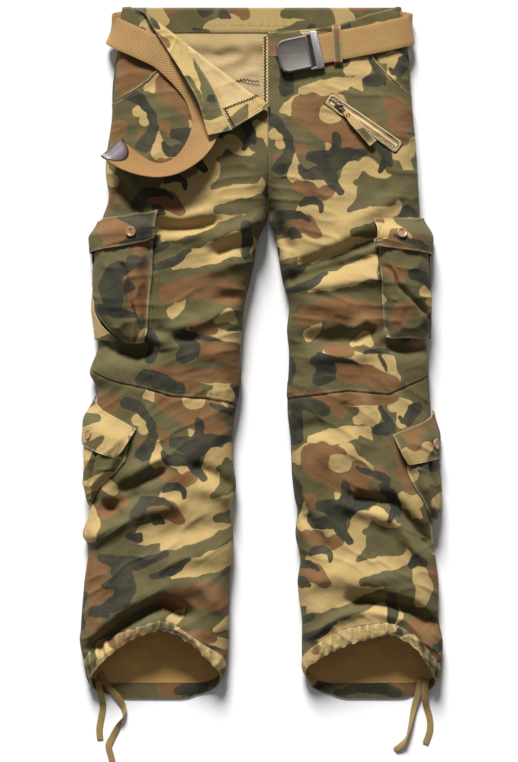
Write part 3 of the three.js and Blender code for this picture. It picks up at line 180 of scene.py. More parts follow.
# The printed repeat, charted in chains of round blobs as x, y and radius, with the middle of the
# main dark branch at 0, 0
TAN_SHAPES = [
    [(26, -11, 11), (20, -31, 13), (14, -48, 16), (0, -68, 20), (6, -85, 20), (20, -94, 17), (51, -80, 13),
     (80, -68, 14)],
    [(43, -9, 11), (62, -20, 9), (74, -26, 4), (88, -28, 3)], [(85, 6, 9), (99, 11, 14), (114, 23, 9)],
    [(-62, -3, 10), (-55, -21, 11), (-47, -30, 7)], [(-62, 6, 6), (-60, 9, 6)],
    [(-41, -27, 6), (-24, -27, 9), (-17, -36, 9)], [(-9, 14, 7), (-11, 20, 4)],
    [(-44, -71, 9), (-23, -71, 14), (-9, -91, 17), (6, -108, 16)],
    [(-44, -146, 9), (-14, -138, 11), (14, -126, 14), (41, -112, 11), (62, -104, 9)],
    [(-36, -185, 3), (-9, -173, 13), (20, -162, 18), (47, -153, 18), (65, -151, 17)],
    [(-38, -250, 7), (-24, -239, 7), (-27, -226, 7), (-17, -220, 4), (-6, -220, 4)],
    [(27, -261, 4), (44, -253, 9), (50, -261, 6)],
    [(-14, -270, 4), (14, -270, 7), (41, -283, 7), (74, -291, 14), (85, -308, 9)],
    [(-68, 71, 10), (-61, 65, 6)], [(4, 152, 7), (30, 152, 11), (38, 132, 16), (20, 125, 7)],
    [(74, 146, 11), (88, 148, 7), (81, 121, 9)],
    [(-47, 97, 4), (-18, 101, 11), (11, 105, 10), (30, 108, 9), (38, 99, 4)],
    [(3, 82, 11), (11, 67, 13), (30, 58, 9), (43, 54, 4)], [(-62, 77, 7), (-51, 88, 4)],
    [(82, 16, 7), (99, 3, 9), (105, -18, 7), (112, -31, 3)], [(-85, 33, 9), (-80, 30, 7)],
    [(-77, 20, 6), (-75, 17, 6)], [(-74, -128, 13), (-40, -121, 18), (-18, -104, 20)],
    [(-148, -28, 9), (-136, -48, 13), (-122, -62, 9)], [(105, -91, 11), (114, -111, 13), (108, -131, 9)],
    [(-119, 102, 10), (-105, 111, 9)],
]
TAN_ISLANDS = [[(-9, 62, 13), (-3, 60, 13)]]
BROWN_SHAPES = [
    [(-44, 74, 17), (-21, 53, 21), (14, 30, 18), (30, 21, 13)], [(20, 50, 17), (23, 47, 17)],
    [(-58, 14, 6), (-47, 13, 7), (-38, 3, 4)],
    [(-53, -38, 7), (-38, -47, 10), (-24, -53, 10), (-11, -47, 9)],
    [(-57, -85, 13), (-40, -91, 13), (-27, -105, 9)],
    [(-40, -222, 14), (-14, -213, 17), (14, -213, 20), (50, -222, 20)], [(-9, -267, 7), (20, -270, 9)],
    [(14, -300, 13), (47, -308, 17), (80, -315, 11)], [(-62, -335, 10), (20, -338, 10), (71, -338, 9)],
    [(64, 77, 14), (88, 68, 17), (102, 57, 14)],
    [(-28, 81, 13), (-40, 65, 20), (-18, 54, 20), (-11, 77, 13)],
    [(-28, 155, 9), (-11, 146, 13), (-4, 135, 9)], [(51, 55, 9), (82, 54, 13), (97, 27, 9)],
    [(-124, 57, 13), (-139, 65, 9)], [(-142, -175, 16), (-142, -197, 18), (-139, -220, 16)],
    [(-146, -253, 11), (-143, -256, 11)], [(-131, -92, 13), (-108, -81, 11)], [(-81, 1, 6), (-80, 0, 6)],
    [(-114, 11, 13), (-125, -9, 11)], [(102, -165, 13), (111, -185, 14)],
]
OLIVE_SHAPES = [
    [(-27, -15, 4), (-13, -16, 4)], [(33, -33, 6), (53, -33, 8), (74, -44, 16)],
    [(18, -75, 4), (30, -67, 8), (47, -58, 10), (74, -53, 14)],
    [(88, -40, 17), (105, -31, 17), (114, -57, 14)], [(27, -105, 6), (47, -102, 10), (65, -99, 11)],
    [(-68, -162, 9), (-36, -156, 7), (0, -149, 10), (33, -132, 10), (62, -121, 10)],
    [(-58, 38, 13), (-36, 27, 10), (-24, 19, 6)], [(24, 97, 4), (43, 89, 6), (57, 77, 10), (67, 58, 11)],
    [(23, 82, 5), (36, 74, 8), (47, 65, 6)],
]
DARK_SHAPES = [
    [(1, 31, 6), (3, 17, 6), (0, 0, 13), (17, 6, 9), (41, 9, 6)],
    [(-33, 3, 8), (-17, 0, 13), (0, -6, 15), (-9, -20, 11)],
    [(-48, -11, 4), (-44, -19, 6), (-38, -25, 8), (-22, -22, 9), (-6, -22, 11), (-3, -36, 8), (7, -47, 5)],
    [(67, 11, 6), (71, -3, 6), (64, -15, 5)],
    [(-47, -65, 4), (-41, -61, 6), (-30, -58, 5), (-21, -65, 4), (-20, -77, 3)],
    [(-85, -99, 11), (-77, -82, 9), (-60, -80, 7), (-47, -80, 6), (-36, -88, 3)],
    [(-58, -106, 9), (-50, -109, 4)], [(-97, -128, 4), (-81, -131, 6)],
    [(-11, -162, 3), (-24, -170, 5), (-41, -179, 6), (-62, -185, 6)], [(41, -173, 1), (55, -183, 1)],
    [(60, -158, 1), (62, -163, 1)], [(68, -124, 7), (71, -141, 7), (68, -168, 6)],
    [(-24, -274, 3), (-6, -280, 4), (14, -284, 3), (33, -287, 1)],
    [(44, -273, 3), (61, -273, 4), (74, -273, 3)], [(62, -280, 3), (68, -291, 3), (72, -298, 1)],
    [(-24, -284, 9), (-9, -298, 14), (-23, -312, 10)],
    [(-99, 58, 9), (-81, 51, 9), (-70, 36, 6), (-62, 13, 6), (-67, -3, 8), (-77, -13, 11)],
    [(-74, 151, 13), (-51, 146, 11), (-28, 136, 10)], [(-67, 128, 11), (-67, 99, 11)],
    [(50, 142, 4), (58, 132, 6), (67, 116, 4), (72, 106, 3)], [(78, 128, 3), (82, 122, 3)],
    [(99, 139, 11), (92, 125, 9)], [(18, 55, 3), (31, 51, 5), (50, 45, 6), (58, 38, 6), (58, 27, 7)],
    [(65, 23, 6), (74, 4, 6), (78, -11, 4)], [(47, 112, 7), (61, 109, 9)],
    [(-135, -159, 6), (-109, -166, 9), (-85, -168, 9), (-45, -156, 5)],
    [(-108, -178, 13), (-101, -200, 16), (-108, -220, 13), (-131, -229, 8), (-148, -236, 6)],
    [(-131, -199, 6), (-116, -193, 9)], [(-131, -240, 6), (-142, -240, 4)],
    [(94, -82, 6), (102, -74, 9), (114, -77, 7)], [(99, -213, 7), (91, -233, 10), (99, -253, 7)],
    [(-71, -278, 9), (-62, -295, 10), (-68, -315, 7)],
]

# Edges across a front, from the side seam at 0 to the inseam at 1
RIGHT_EDGES = {
    "knee": [(0, -18), (0.22, -43), (0.38, -52), (0.55, -63), (0.78, -66), (1, -76)],
    "casing": [(0, -440), (0.08, -432), (0.2, -408), (0.38, -391), (0.54, -377), (0.63, -382), (0.74, -400),
               (0.82, -414), (0.92, -428), (1, -446)],
    "hem": [(0, -476), (0.13, -452), (0.24, -431), (0.34, -413), (0.42, -401), (0.55, -391), (0.66, -399),
            (0.75, -414), (0.82, -432), (0.9, -449), (1, -468)],
    "back_hem": [(0, -472), (0.03, -479), (0.07, -485), (0.12, -488.7), (0.18, -490), (0.82, -490),
                 (0.88, -488.5), (0.93, -484), (0.97, -476.5), (1, -467)],
}
LEFT_EDGES = {
    "knee": [(0, -27), (0.15, -42), (0.33, -60), (0.59, -55), (1, -67)],
    "casing": [(0, -448), (0.12, -433), (0.19, -416), (0.26, -397), (0.35, -384), (0.42, -380), (0.57, -384),
               (0.7, -389), (0.81, -402), (0.92, -422), (1, -436)],
    "hem": [(0, -470), (0.1, -459), (0.17, -443), (0.26, -417), (0.35, -402), (0.42, -397), (0.55, -404),
            (0.66, -411), (0.78, -423), (0.9, -442), (1, -459)],
    "back_hem": [(0, -468), (0.03, -477), (0.07, -484.5), (0.12, -488.7), (0.18, -490), (0.82, -490),
                 (0.88, -488.5), (0.93, -483.5), (0.97, -474), (1, -459)],
}
# Across a front, the outer rounding ends at TOP_FROM and the inner one starts at TOP_TO
TOP_FROM, TOP_TO = 0.22, 0.82
BACK_FROM, BACK_TO = 0.11, 0.9
BACK_ROUND = 0.62
CROWN = 3
EDGE = 0.0016
HOLD = {"front": 95, "back": 36}  # the height above the crotch over which the inner rounding flattens out


# Interpolation
def smooth(k):
    c = np.clip(k, 0, 1)
    return c * c * (3 - 2 * c)


def mix(a, b, k):
    return a + (b - a) * k


def catmull(values, i, k):
    last = len(values) - 1
    a, b, c, d = (values[np.clip(i + step, 0, last)] for step in (-1, 0, 1, 2))
    return b + ((c - a) * k + (2 * a - 5 * b + 4 * c - d) * k**2 + (3 * b - a - 3 * c + d) * k**3) / 2


def column(table, name):
    """A smooth curve down one column of a table whose y falls, ready to be read at any y."""
    ys = table["y"]
    at = np.arange(-530, 531, 0.5)
    i = np.sum(at[:, None] < ys[1:-1], axis=1)
    k = np.clip((ys[i] - at) / (ys[i] - ys[i + 1]), 0, 1)
    values = catmull(table[name], i, k)
    return lambda y: np.interp(y, at, values)


def edge_line(pairs):
    xs, ys = zip(*pairs)
    return lambda u: np.interp(u, xs, ys)


SECTION = {name: column(SECTIONS, name) for name in ("height", "seam", "round")}


class Leg:
    def __init__(self, side, outline, edges, folds, inward):
        self.side = side
        self.outer = column(outline, "outer")
        self.inner = column(outline, "inner")
        self.edges = {name: edge_line(pairs) for name, pairs in edges.items()}
        self.folds = folds
        self.inward = inward

    def width(self, y):
        return np.abs(self.inner(y) - self.outer(y))


RIGHT = Leg("right", RIGHT_OUTLINE, RIGHT_EDGES, RIGHT_FOLDS, 1)
LEFT = Leg("left", LEFT_OUTLINE, LEFT_EDGES, LEFT_FOLDS, -1)
LEGS = (RIGHT, LEFT)


LATTICE, LATTICE_SHIFT = 97, 500  # squares of noise before it repeats, and where place 0 is in it


def noise(x, y, cell, seed):
    """Smooth noise between -1 and 1 on a lattice of squares as wide as cell."""
    lattice = np.random.RandomState(seed).uniform(-1, 1, (LATTICE, LATTICE))
    u, v = x / cell + LATTICE_SHIFT, y / cell + LATTICE_SHIFT
    i, j = np.floor(u).astype(int), np.floor(v).astype(int)
    a, b = smooth(u - i), smooth(v - j)

    def at(di, dj):
        return lattice[(i + di) % LATTICE, (j + dj) % LATTICE]

    return mix(mix(at(0, 0), at(1, 0), a), mix(at(0, 1), at(1, 1), a), b)


def path_distance(path, x, y):
    """How far a place is from a path, how far along the path its nearest point is, and the path's length."""
    nearest = np.full(np.shape(x), 1e9)
    place = np.zeros(np.shape(x))
    before = 0
    for (x1, y1), (x2, y2) in zip(path, path[1:]):
        length = math.hypot(x2 - x1, y2 - y1)
        k = np.clip(((x - x1) * (x2 - x1) + (y - y1) * (y2 - y1)) / length**2, 0, 1)
        away = np.hypot(x - mix(x1, x2, k), y - mix(y1, y2, k))
        closer = away < nearest
        nearest = np.where(closer, away, nearest)
        place = np.where(closer, before + k * length, place)
        before += length
    return nearest, place, before


FOLD_DEPTH = 1.3


def fold_rise(folds, x, y):
    rise = np.zeros(np.shape(x))
    for path, half, height in folds:
        away, place, length = path_distance(path, x, y)
        ends = smooth((place + half) / (2 * half)) * smooth((length - place + half) / (2 * half))
        rise = rise + FOLD_DEPTH * height * np.exp(-((away / half) ** 2)) * ends
    return rise


# The garment's outside
def front_place(leg, u, y):
    """x of a front point, its z with no folds, and the height of its side seam."""
    outer = leg.outer(y)
    inner = leg.inner(y) - leg.inward * SEAM_GAP / 2
    height, seam, rounding = (SECTION[name](y) for name in ("height", "seam", "round"))
    width = np.abs(inner - outer)
    hold = smooth((y - CROTCH_Y) / HOLD["front"])
    low = (math.pi / 2) * np.clip(u / TOP_FROM, 0, 1)
    k = np.clip((u - TOP_FROM) / (TOP_TO - TOP_FROM), 0, 1)
    k_in = np.clip((u - TOP_TO) / (1 - TOP_TO), 0, 1)
    high = (math.pi / 2) * (1 - k_in)
    inset = np.where(
        u < TOP_FROM, rounding * (1 - np.cos(low)),
        np.where(u < TOP_TO, mix(rounding, width - rounding, k),
                 width - rounding * mix(1 - np.cos(high), 1 - k_in, hold)))
    z = np.where(
        u < TOP_FROM, seam + (height - seam) * np.sin(low),
        np.where(u < TOP_TO, height + CROWN * 4 * k * (1 - k),
                 mix(seam + (height - seam) * np.sin(high), height, hold)))
    return outer + leg.inward * inset, z, seam


def front_base(leg, u, y):
    x, z, seam = front_place(leg, u, y)
    return np.stack([x, y, z + fold_rise(leg.folds, x, y) * smooth((z - seam) / 14)], -1)


def back_base(leg, u, y):
    outer = leg.outer(y)
    inner = leg.inner(y) - leg.inward * SEAM_GAP / 2
    seam = SECTION["seam"](y)
    rounding = BACK_ROUND * SECTION["round"](y)
    width = np.abs(inner - outer)
    hold = smooth((y - CROTCH_Y) / HOLD["back"])
    floor = BACK_LIFT * smooth((y - 420) / 20)
    low = (math.pi / 2) * np.clip(u / BACK_FROM, 0, 1)
    k = np.clip((u - BACK_TO) / (1 - BACK_TO), 0, 1)
    high = (math.pi / 2) * (1 - k)
    flat = mix(rounding, width - rounding, np.clip((u - BACK_FROM) / (BACK_TO - BACK_FROM), 0, 1))
    inset = np.where(u < BACK_FROM, rounding * (1 - np.cos(low)),
                     np.where(u < BACK_TO, flat, width - rounding * mix(1 - np.cos(high), 1 - k, hold)))
    z = np.where(u < BACK_FROM, floor + (seam - floor) * (1 - np.sin(low)),
                 np.where(u < BACK_TO, floor, floor + (seam - floor) * (1 - np.sin(high)) * (1 - hold)))
    return np.stack([outer + leg.inward * inset, y + 0 * inset, z], -1)


def unit(v):
    return v / np.maximum(np.linalg.norm(v, axis=-1, keepdims=True), 1e-9)


def run_along(points):
    """How far along a line of points each of them is."""
    return np.concatenate([[0], np.cumsum(np.linalg.norm(np.diff(points, axis=0), axis=-1))])


def face_normal(base, leg, u, y, up):
    low, high = np.maximum(0, u - 0.004), np.minimum(1, u + 0.004)
    over = base(leg, high, y) - base(leg, low, y)
    down = base(leg, u, y - 1.5) - base(leg, u, y + 1.5)
    return unit(np.cross(down, over)) * leg.inward * up


POCKET_MOUTH = {
    "right": [(-118, 452), (-128, 428), (-143, 403), (-160, 385), (-180, 371), (-212, 352), (-250, 344)],
    "left": [(140, 452), (150, 428), (162, 410), (180, 391), (199, 374), (214, 358), (250, 344)],
}
MOUTH_DROP = 1.8
SIDE_SEAM_TOP = -60  # the felled side seam shows below this height


def mouth_side(leg, x, y):
    """How far a place is from the hip pocket's mouth, positive on the pocket's side."""
    away, _, _ = path_distance(POCKET_MOUTH[leg.side], x, y)
    xs, ys = zip(*sorted(POCKET_MOUTH[leg.side]))
    return away * np.where(y > np.interp(x, xs, ys), 1, -1)


def creases(leg, x, y, angle, seed):
    """Soft long creases that fall outwards at an angle."""
    out = -x * leg.inward
    a = math.radians(angle)
    run, across = out * math.cos(a) - y * math.sin(a), out * math.sin(a) + y * math.cos(a)
    bend = 7 * noise(x, y, 45, seed + 5)
    wide = noise(run / 3.2, across + bend, 17, seed)
    thin = noise(run / 3.6, across + bend, 9, seed + 1)
    return 2.3 * (1 - np.abs(wide)) ** 3 + 0.6 * (1 - np.abs(thin)) ** 4 - 0.9


def relief(leg, u, x, y):
    """The small relief of a front: creases, the felled knee seam, puckers and the hip pocket's mouth."""
    thigh = smooth((y + 60) / 60)
    rise = 1.2 * noise(x, y, 34, 11) + 0.6 * noise(x, y, 14, 12) + 0.16 * noise(x, y, 5, 13)
    rise = rise + mix(creases(leg, x, y, 34, 31), creases(leg, x, y, 9, 21), thigh) * 0.8
    rise = rise * smooth(np.minimum(u, 1 - u) * 9 + 0.08)
    knee = y - leg.edges["knee"](u)
    rise = rise - 1.4 * np.exp(-((knee / 2.0) ** 2)) + 0.7 * smooth(knee / 2) * smooth((27 - knee) / 2)
    rise = rise + 0.5 * np.sin(x / 1.7 + 3 * noise(x, y, 20, 14)) * np.exp(-np.abs(knee - 9) / 11)
    away = mouth_side(leg, x, y)
    lip = np.exp(-(((away + 1.8) / 1.8) ** 2)) * 0.9
    rise = rise + lip - MOUTH_DROP * smooth((away + 0.6) / 1.2)
    side_seam = u * leg.width(y)
    rise = rise - 0.8 * np.exp(-(((side_seam - 17) / 1.6) ** 2)) * smooth((SIDE_SEAM_TOP - y) / 20)
    return rise


def front(leg, u, y, lift=0.0):
    base = front_base(leg, u, y)
    normal = face_normal(front_base, leg, u, y, 1)
    return base + normal * (relief(leg, u, base[..., 0], y) + lift)[..., None]


def back(leg, u, y, lift=0.0):
    normal = face_normal(back_base, leg, u, y, -1)
    return back_base(leg, u, y) + normal * np.asarray(lift)[..., None]


def across_at(leg, x, y):
    x, y = np.broadcast_arrays(np.asarray(x, float), np.asarray(y, float))
    low, high = np.zeros(x.shape), np.ones(x.shape)
    for _ in range(22):
        middle = (low + high) / 2
        short = leg.inward * (front_place(leg, middle, y)[0] - x) < 0
        low, high = np.where(short, middle, low), np.where(short, high, middle)
    return (low + high) / 2


def on_front(leg, x, y, lift=0.0):
    x, y = np.broadcast_arrays(np.asarray(x, float), np.asarray(y, float))
    return front(leg, across_at(leg, x, y), y, np.zeros(x.shape) + lift)


# The camouflage: chains of round blobs that make a repeat, in the cloth's plane
REPEAT = {"width": 262, "height": 493, "left": -141, "low": -340}
BLOB_MARGIN, NO_BLOB = 14, -30.0  # how far round a blob its depth is worked out, and the depth past that


def blobs(chains, x, y):
    """How far inside the nearest chain a place is."""
    depth = np.full(x.shape, NO_BLOB)
    width, height = REPEAT["width"], REPEAT["height"]
    for chain in chains:
        links = list(zip(chain, chain[1:])) or [(chain[0], chain[0])]
        for (x1, y1, r1), (x2, y2, r2) in links:
            reach = max(r1, r2) + BLOB_MARGIN
            for dx in (-width, 0, width):
                for dy in (-height, 0, height):
                    near = ((x > min(x1, x2) + dx - reach) & (x < max(x1, x2) + dx + reach)
                            & (y > min(y1, y2) + dy - reach) & (y < max(y1, y2) + dy + reach))
                    if not near.any():
                        continue
                    px, py = x[near] - dx, y[near] - dy
                    length = max((x2 - x1) ** 2 + (y2 - y1) ** 2, 1e-6)
                    k = np.clip(((px - x1) * (x2 - x1) + (py - y1) * (y2 - y1)) / length, 0, 1)
                    inside = mix(r1, r2, k) - np.hypot(px - mix(x1, x2, k), py - mix(y1, y2, k))
                    depth[near] = np.maximum(depth[near], inside)
    return depth


def camouflage(x, y, home):
    """The depth of each printed colour at a place, where home is the middle of the main dark branch.

    A third number of -1 in home is for a piece that is cut the other way up.
    """
    way = home[2] if len(home) > 2 else 1
    x, y = (np.asarray(x, float) - home[0]) * way, (np.asarray(y, float) - home[1]) * way
    wx = x + 2.6 * noise(x, y, 15, 41) + 1.0 * noise(x, y, 6, 42)
    wy = y + 2.6 * noise(x, y, 15, 43) + 1.0 * noise(x, y, 6, 44)
    px = (wx - REPEAT["left"]) % REPEAT["width"] + REPEAT["left"]
    py = (wy - REPEAT["low"]) % REPEAT["height"] + REPEAT["low"]
    island = blobs(TAN_ISLANDS, px, py)
    olive = blobs(OLIVE_SHAPES, px, py)
    brown = np.minimum(blobs(BROWN_SHAPES, px, py), -np.maximum(island, olive))
    return {
        "tan": np.maximum(np.minimum(blobs(TAN_SHAPES, px, py), -olive), island),
        "brown": brown,
        "dark": blobs(DARK_SHAPES, px, py),
    }


# Materials
class Graph:
    """Short calls for a material's nodes."""

    def __init__(self, name):
        self.material = bpy.data.materials.new(name)
        self.material.use_nodes = True
        self.tree = self.material.node_tree
        self.shader = self.tree.nodes["Principled BSDF"]

    def node(self, kind, inputs=None, **settings):
        made = self.tree.nodes.new(kind)
        for key, value in settings.items():
            setattr(made, key, value)
        for key, value in (inputs or {}).items():
            if isinstance(value, bpy.types.NodeSocket):
                self.tree.links.new(value, made.inputs[key])
            else:
                made.inputs[key].default_value = value
        return made

    def attribute(self, name):
        return self.node("ShaderNodeAttribute", attribute_name=name).outputs["Fac"]

    def place(self):
        return self.node("ShaderNodeTexCoord").outputs["Object"]

    def noise(self, scale, detail=3.0, where=None):
        inputs = {"Vector": where or self.place(), "Scale": scale, "Detail": detail}
        return self.node("ShaderNodeTexNoise", inputs).outputs["Fac"]

    def math(self, operation, a, b=0.0):
        return self.node("ShaderNodeMath", {0: a, 1: b}, operation=operation).outputs[0]

    def ramp(self, value, low, high, to_low=0.0, to_high=1.0):
        return self.node("ShaderNodeMapRange", {"Value": value, "From Min": low, "From Max": high,
                                                "To Min": to_low, "To Max": to_high}).outputs["Result"]

    def blend(self, factor, a, b, kind="MIX"):
        made = self.tree.nodes.new("ShaderNodeMix")
        made.data_type = "RGBA"
        made.blend_type = kind
        for slot, value in ((0, factor), (6, a), (7, b)):
            if isinstance(value, bpy.types.NodeSocket):
                self.tree.links.new(value, made.inputs[slot])
            else:
                made.inputs[slot].default_value = value if slot == 0 else (*value, 1)
        return made.outputs[2]

    def bump(self, height, strength, distance):
        made = self.node("ShaderNodeBump", {"Height": height, "Strength": strength, "Distance": distance})
        self.tree.links.new(made.outputs["Normal"], self.shader.inputs["Normal"])

    def finish(self, colour, **sockets):
        self.tree.links.new(colour, self.shader.inputs["Base Color"])
        for key, value in sockets.items():
            self.shader.inputs[key.replace("_", " ")].default_value = value
        return self.material


def srgb(r, g, b):
    return tuple(((c / 255) / 12.92 if c <= 10 else ((c / 255 + 0.055) / 1.055) ** 2.4) for c in (r, g, b))


TAN_INK, BROWN_INK = srgb(190, 162, 106), srgb(122, 86, 54)
OLIVE_INK, DARK_INK = srgb(94, 87, 56), srgb(46, 48, 42)
REVERSE = srgb(204, 182, 136)


def camo_material():
    g = Graph("camo_cloth")
    grain = g.noise(950.0, 2.0)
    cloudy = g.noise(26.0, 4.0)
    edge = g.math("MULTIPLY", g.math("SUBTRACT", g.noise(420.0, 2.0), 0.5), 1.6)
    colour = OLIVE_INK
    for name, ink in (("tan", TAN_INK), ("brown", BROWN_INK), ("dark", DARK_INK)):
        depth = g.math("ADD", g.attribute(name), edge)
        colour = g.blend(g.ramp(depth, -0.45, 0.45, 0.0, 0.96), colour, ink)
    colour = g.blend(g.ramp(cloudy, 0.35, 0.75, 0.0, 0.08), colour, srgb(214, 196, 150))
    colour = g.blend(g.ramp(grain, 0.3, 0.7, 0.0, 0.22), colour, srgb(60, 50, 34))
    wear = g.math("MULTIPLY", g.attribute("wear"), g.ramp(grain, 0.25, 0.75, 0.35, 1.0))
    colour = g.blend(g.math("MULTIPLY", wear, 0.55), colour, srgb(206, 188, 146))
    g.bump(g.math("ADD", g.math("MULTIPLY", grain, 0.5), g.noise(240.0, 3.0)), 0.28, 0.0009)
    return g.finish(colour, Roughness=0.88, Sheen_Weight=0.04, Sheen_Roughness=0.45, Specular_IOR_Level=0.12)


def plain_cloth(name, colour, dark, grain_scale=900.0, cloud=22.0, deep=None, **sockets):
    """Cloth of one colour, going over to deep, a painted shade colour, where the attribute of that name says
    so.
    """
    g = Graph(name)
    grain = g.noise(grain_scale, 2.0)
    tone = g.blend(g.ramp(g.noise(cloud, 4.0), 0.3, 0.75), colour, dark)
    # Painted shade: the tone goes over to the colour deep where the attribute deep says so
    if deep:
        tone = g.blend(g.attribute("deep"), tone, deep)
    tone = g.blend(g.ramp(grain, 0.3, 0.75, 0.0, 0.22), tone, srgb(70, 54, 32))
    g.bump(grain, 0.3, 0.0007)
    settings = dict(Roughness=0.9, Sheen_Weight=0.1, Sheen_Roughness=0.5, Specular_IOR_Level=0.25)
    settings.update(sockets)
    return g.finish(tone, **settings)


def woven(name, colour, dark, pitch, depth):
    """Webbing or tape: a small diagonal basket weave, from how far along and across it a place is."""
    g = Graph(name)
    along, side = g.attribute("run"), g.attribute("side")
    slanted = [g.math(way, along, side) for way in ("ADD", "SUBTRACT")]
    phases = [g.math("FRACT", g.math("DIVIDE", far, pitch)) for far in slanted]
    weave = g.math("ADD", *(g.math("ABSOLUTE", g.math("SUBTRACT", phase, 0.5)) for phase in phases))
    tone = g.blend(g.ramp(weave, 0.2, 0.75), dark, colour)
    tone = g.blend(g.ramp(g.noise(40.0, 4.0), 0.3, 0.8, 0.0, 0.3), tone, dark)
    # Painted shade: the webbing goes darker where this attribute says so, towards the belt's end
    tone = g.blend(g.math("MULTIPLY", g.attribute("painted_shade"), 0.62), tone, dark)
    g.bump(weave, 0.8, depth)
    return g.finish(tone, Roughness=0.8, Sheen_Weight=0.1, Sheen_Roughness=0.5, Specular_IOR_Level=0.3)


def metal(name, colour, dark, roughness, brushed=None):
    g = Graph(name)
    where = g.place()
    if brushed:
        where = g.node("ShaderNodeMapping", {"Vector": where, "Scale": brushed}).outputs["Vector"]
    streak = g.noise(60.0, 6.0, where)
    tone = g.blend(g.ramp(streak, 0.3, 0.75), colour, dark)
    g.bump(streak, 0.12, 0.0003)
    return g.finish(tone, Metallic=1.0, Roughness=roughness)


def leather_material():
    g = Graph("leather")
    cells = g.node("ShaderNodeTexVoronoi", {"Vector": g.place(), "Scale": 900.0}).outputs["Distance"]
    tone = g.blend(g.ramp(g.noise(60.0, 5.0), 0.3, 0.75), srgb(92, 76, 78), srgb(58, 45, 47))
    tone = g.blend(g.attribute("rim"), tone, srgb(38, 24, 24))
    # Painted highlight: a lighter middle that stands in for the gloss's reflection
    tone = g.blend(g.math("MULTIPLY", g.attribute("painted_highlight"), 0.55), tone, srgb(150, 142, 146))
    g.bump(cells, 0.25, 0.0004)
    return g.finish(tone, Roughness=0.34, Coat_Weight=0.35, Coat_Roughness=0.25)


def button_material():
    g = Graph("button_resin")
    tone = g.blend(g.ramp(g.noise(260.0, 5.0), 0.35, 0.7), srgb(176, 134, 92), srgb(112, 76, 48))
    g.bump(g.noise(500.0, 2.0), 0.05, 0.0002)
    return g.finish(tone, Roughness=0.35, Coat_Weight=0.3, Coat_Roughness=0.2)


def floor_material():
    g = Graph("floor")
    tone = g.blend(g.ramp(g.noise(3.0, 3.0), 0.3, 0.7), (0.93, 0.93, 0.93), (0.95, 0.95, 0.95))
    return g.finish(tone, Roughness=0.9, Specular_IOR_Level=0.1)


MATERIALS = {
    "camo": camo_material(),
    # cloth_reverse: deep is painted shade and painted warm bounce light, the browner inside of each leg near
    # its hem
    "reverse": plain_cloth("cloth_reverse", REVERSE, srgb(190, 160, 106), deep=srgb(206, 162, 96)),
    "worn_edge": plain_cloth("worn_edge", srgb(176, 156, 118), srgb(112, 98, 68), 500.0, 90.0),
    "webbing": woven("webbing", srgb(198, 160, 104), srgb(132, 94, 50), 3.4, 0.0009),
    "tie": woven("tie_tape", srgb(178, 150, 96), srgb(118, 92, 50), 1.8, 0.0004),
    # zip_tape: deep is painted shade, the dark of the gap where the zip stands open
    "zip_tape": plain_cloth("zip_tape", srgb(232, 208, 166), srgb(214, 186, 140), 1400.0,
                            deep=srgb(40, 30, 22)),
    "zip_teeth": plain_cloth("zip_teeth", srgb(190, 152, 98), srgb(150, 112, 66), 700.0, Roughness=0.5),
    "thread": plain_cloth("thread_tan", srgb(150, 128, 88), srgb(108, 88, 56), 1800.0),
    "dark_thread": plain_cloth("thread_dark", srgb(50, 44, 34), srgb(34, 30, 24), 1800.0),
    "leather_thread": plain_cloth("thread_leather", srgb(150, 122, 92), srgb(104, 80, 56), 1800.0),
    "buckle": metal("buckle_metal", (0.165, 0.148, 0.135), (0.13, 0.117, 0.107), 0.55, (1.0, 3.0, 1.0)),
    # Near black: painted shadow for the gap between the buckle's face and its bar
    "gap_shade": metal("buckle_gap_shade_metal", (0.05, 0.046, 0.042), (0.03, 0.028, 0.026), 0.6),
    "bright": metal("buckle_edge_metal", (0.44, 0.42, 0.40), (0.28, 0.27, 0.26), 0.45, (9.0, 1.0, 1.0)),
    "zip_metal": metal("zip_metal", (0.20, 0.155, 0.10), (0.10, 0.08, 0.055), 0.4),
    "leather": leather_material(),
    "button": button_material(),
    "floor": floor_material(),
}


# Meshes
def new_object(name, points, faces, materials, fields=None, sharp=48, face_material=None):
    mesh = bpy.data.meshes.new(name)
    mesh.from_pydata((np.asarray(points) / 1000).tolist(), [], [tuple(f) for f in faces])
    for material in materials:
        mesh.materials.append(MATERIALS[material])
    if face_material is not None:
        mesh.polygons.foreach_set("material_index", np.asarray(face_material, np.int32))
    for key, values in (fields or {}).items():
        attribute = mesh.attributes.new(key, "FLOAT", "POINT")
        attribute.data.foreach_set("value", np.asarray(values, np.float32).ravel())
    loose = bmesh.new()
    loose.from_mesh(mesh)
    bmesh.ops.recalc_face_normals(loose, faces=loose.faces)
    loose.to_mesh(mesh)
    loose.free()
    mesh.shade_smooth()
    mesh.set_sharp_from_angle(angle=math.radians(sharp))
    obj = bpy.data.objects.new(name, mesh)
    bpy.context.collection.objects.link(obj)
    return obj


def tube_faces(count, n, closed=False, way=-1):
    """The faces of a tube of rings with n points each, capped at both ends unless it closes on itself.

    way is the way round in which the first cap lists its points: 1 as the ring does, -1 against it.
    """
    faces = []
    for i in range(count if closed else count - 1):
        for j in range(n):
            k, after = (j + 1) % n, (i + 1) % count
            faces.append((i * n + j, i * n + k, after * n + k, after * n + j))
    if not closed:
        faces += [tuple(range(n))[::way], tuple(range((count - 1) * n, count * n))[::-way]]
    return faces


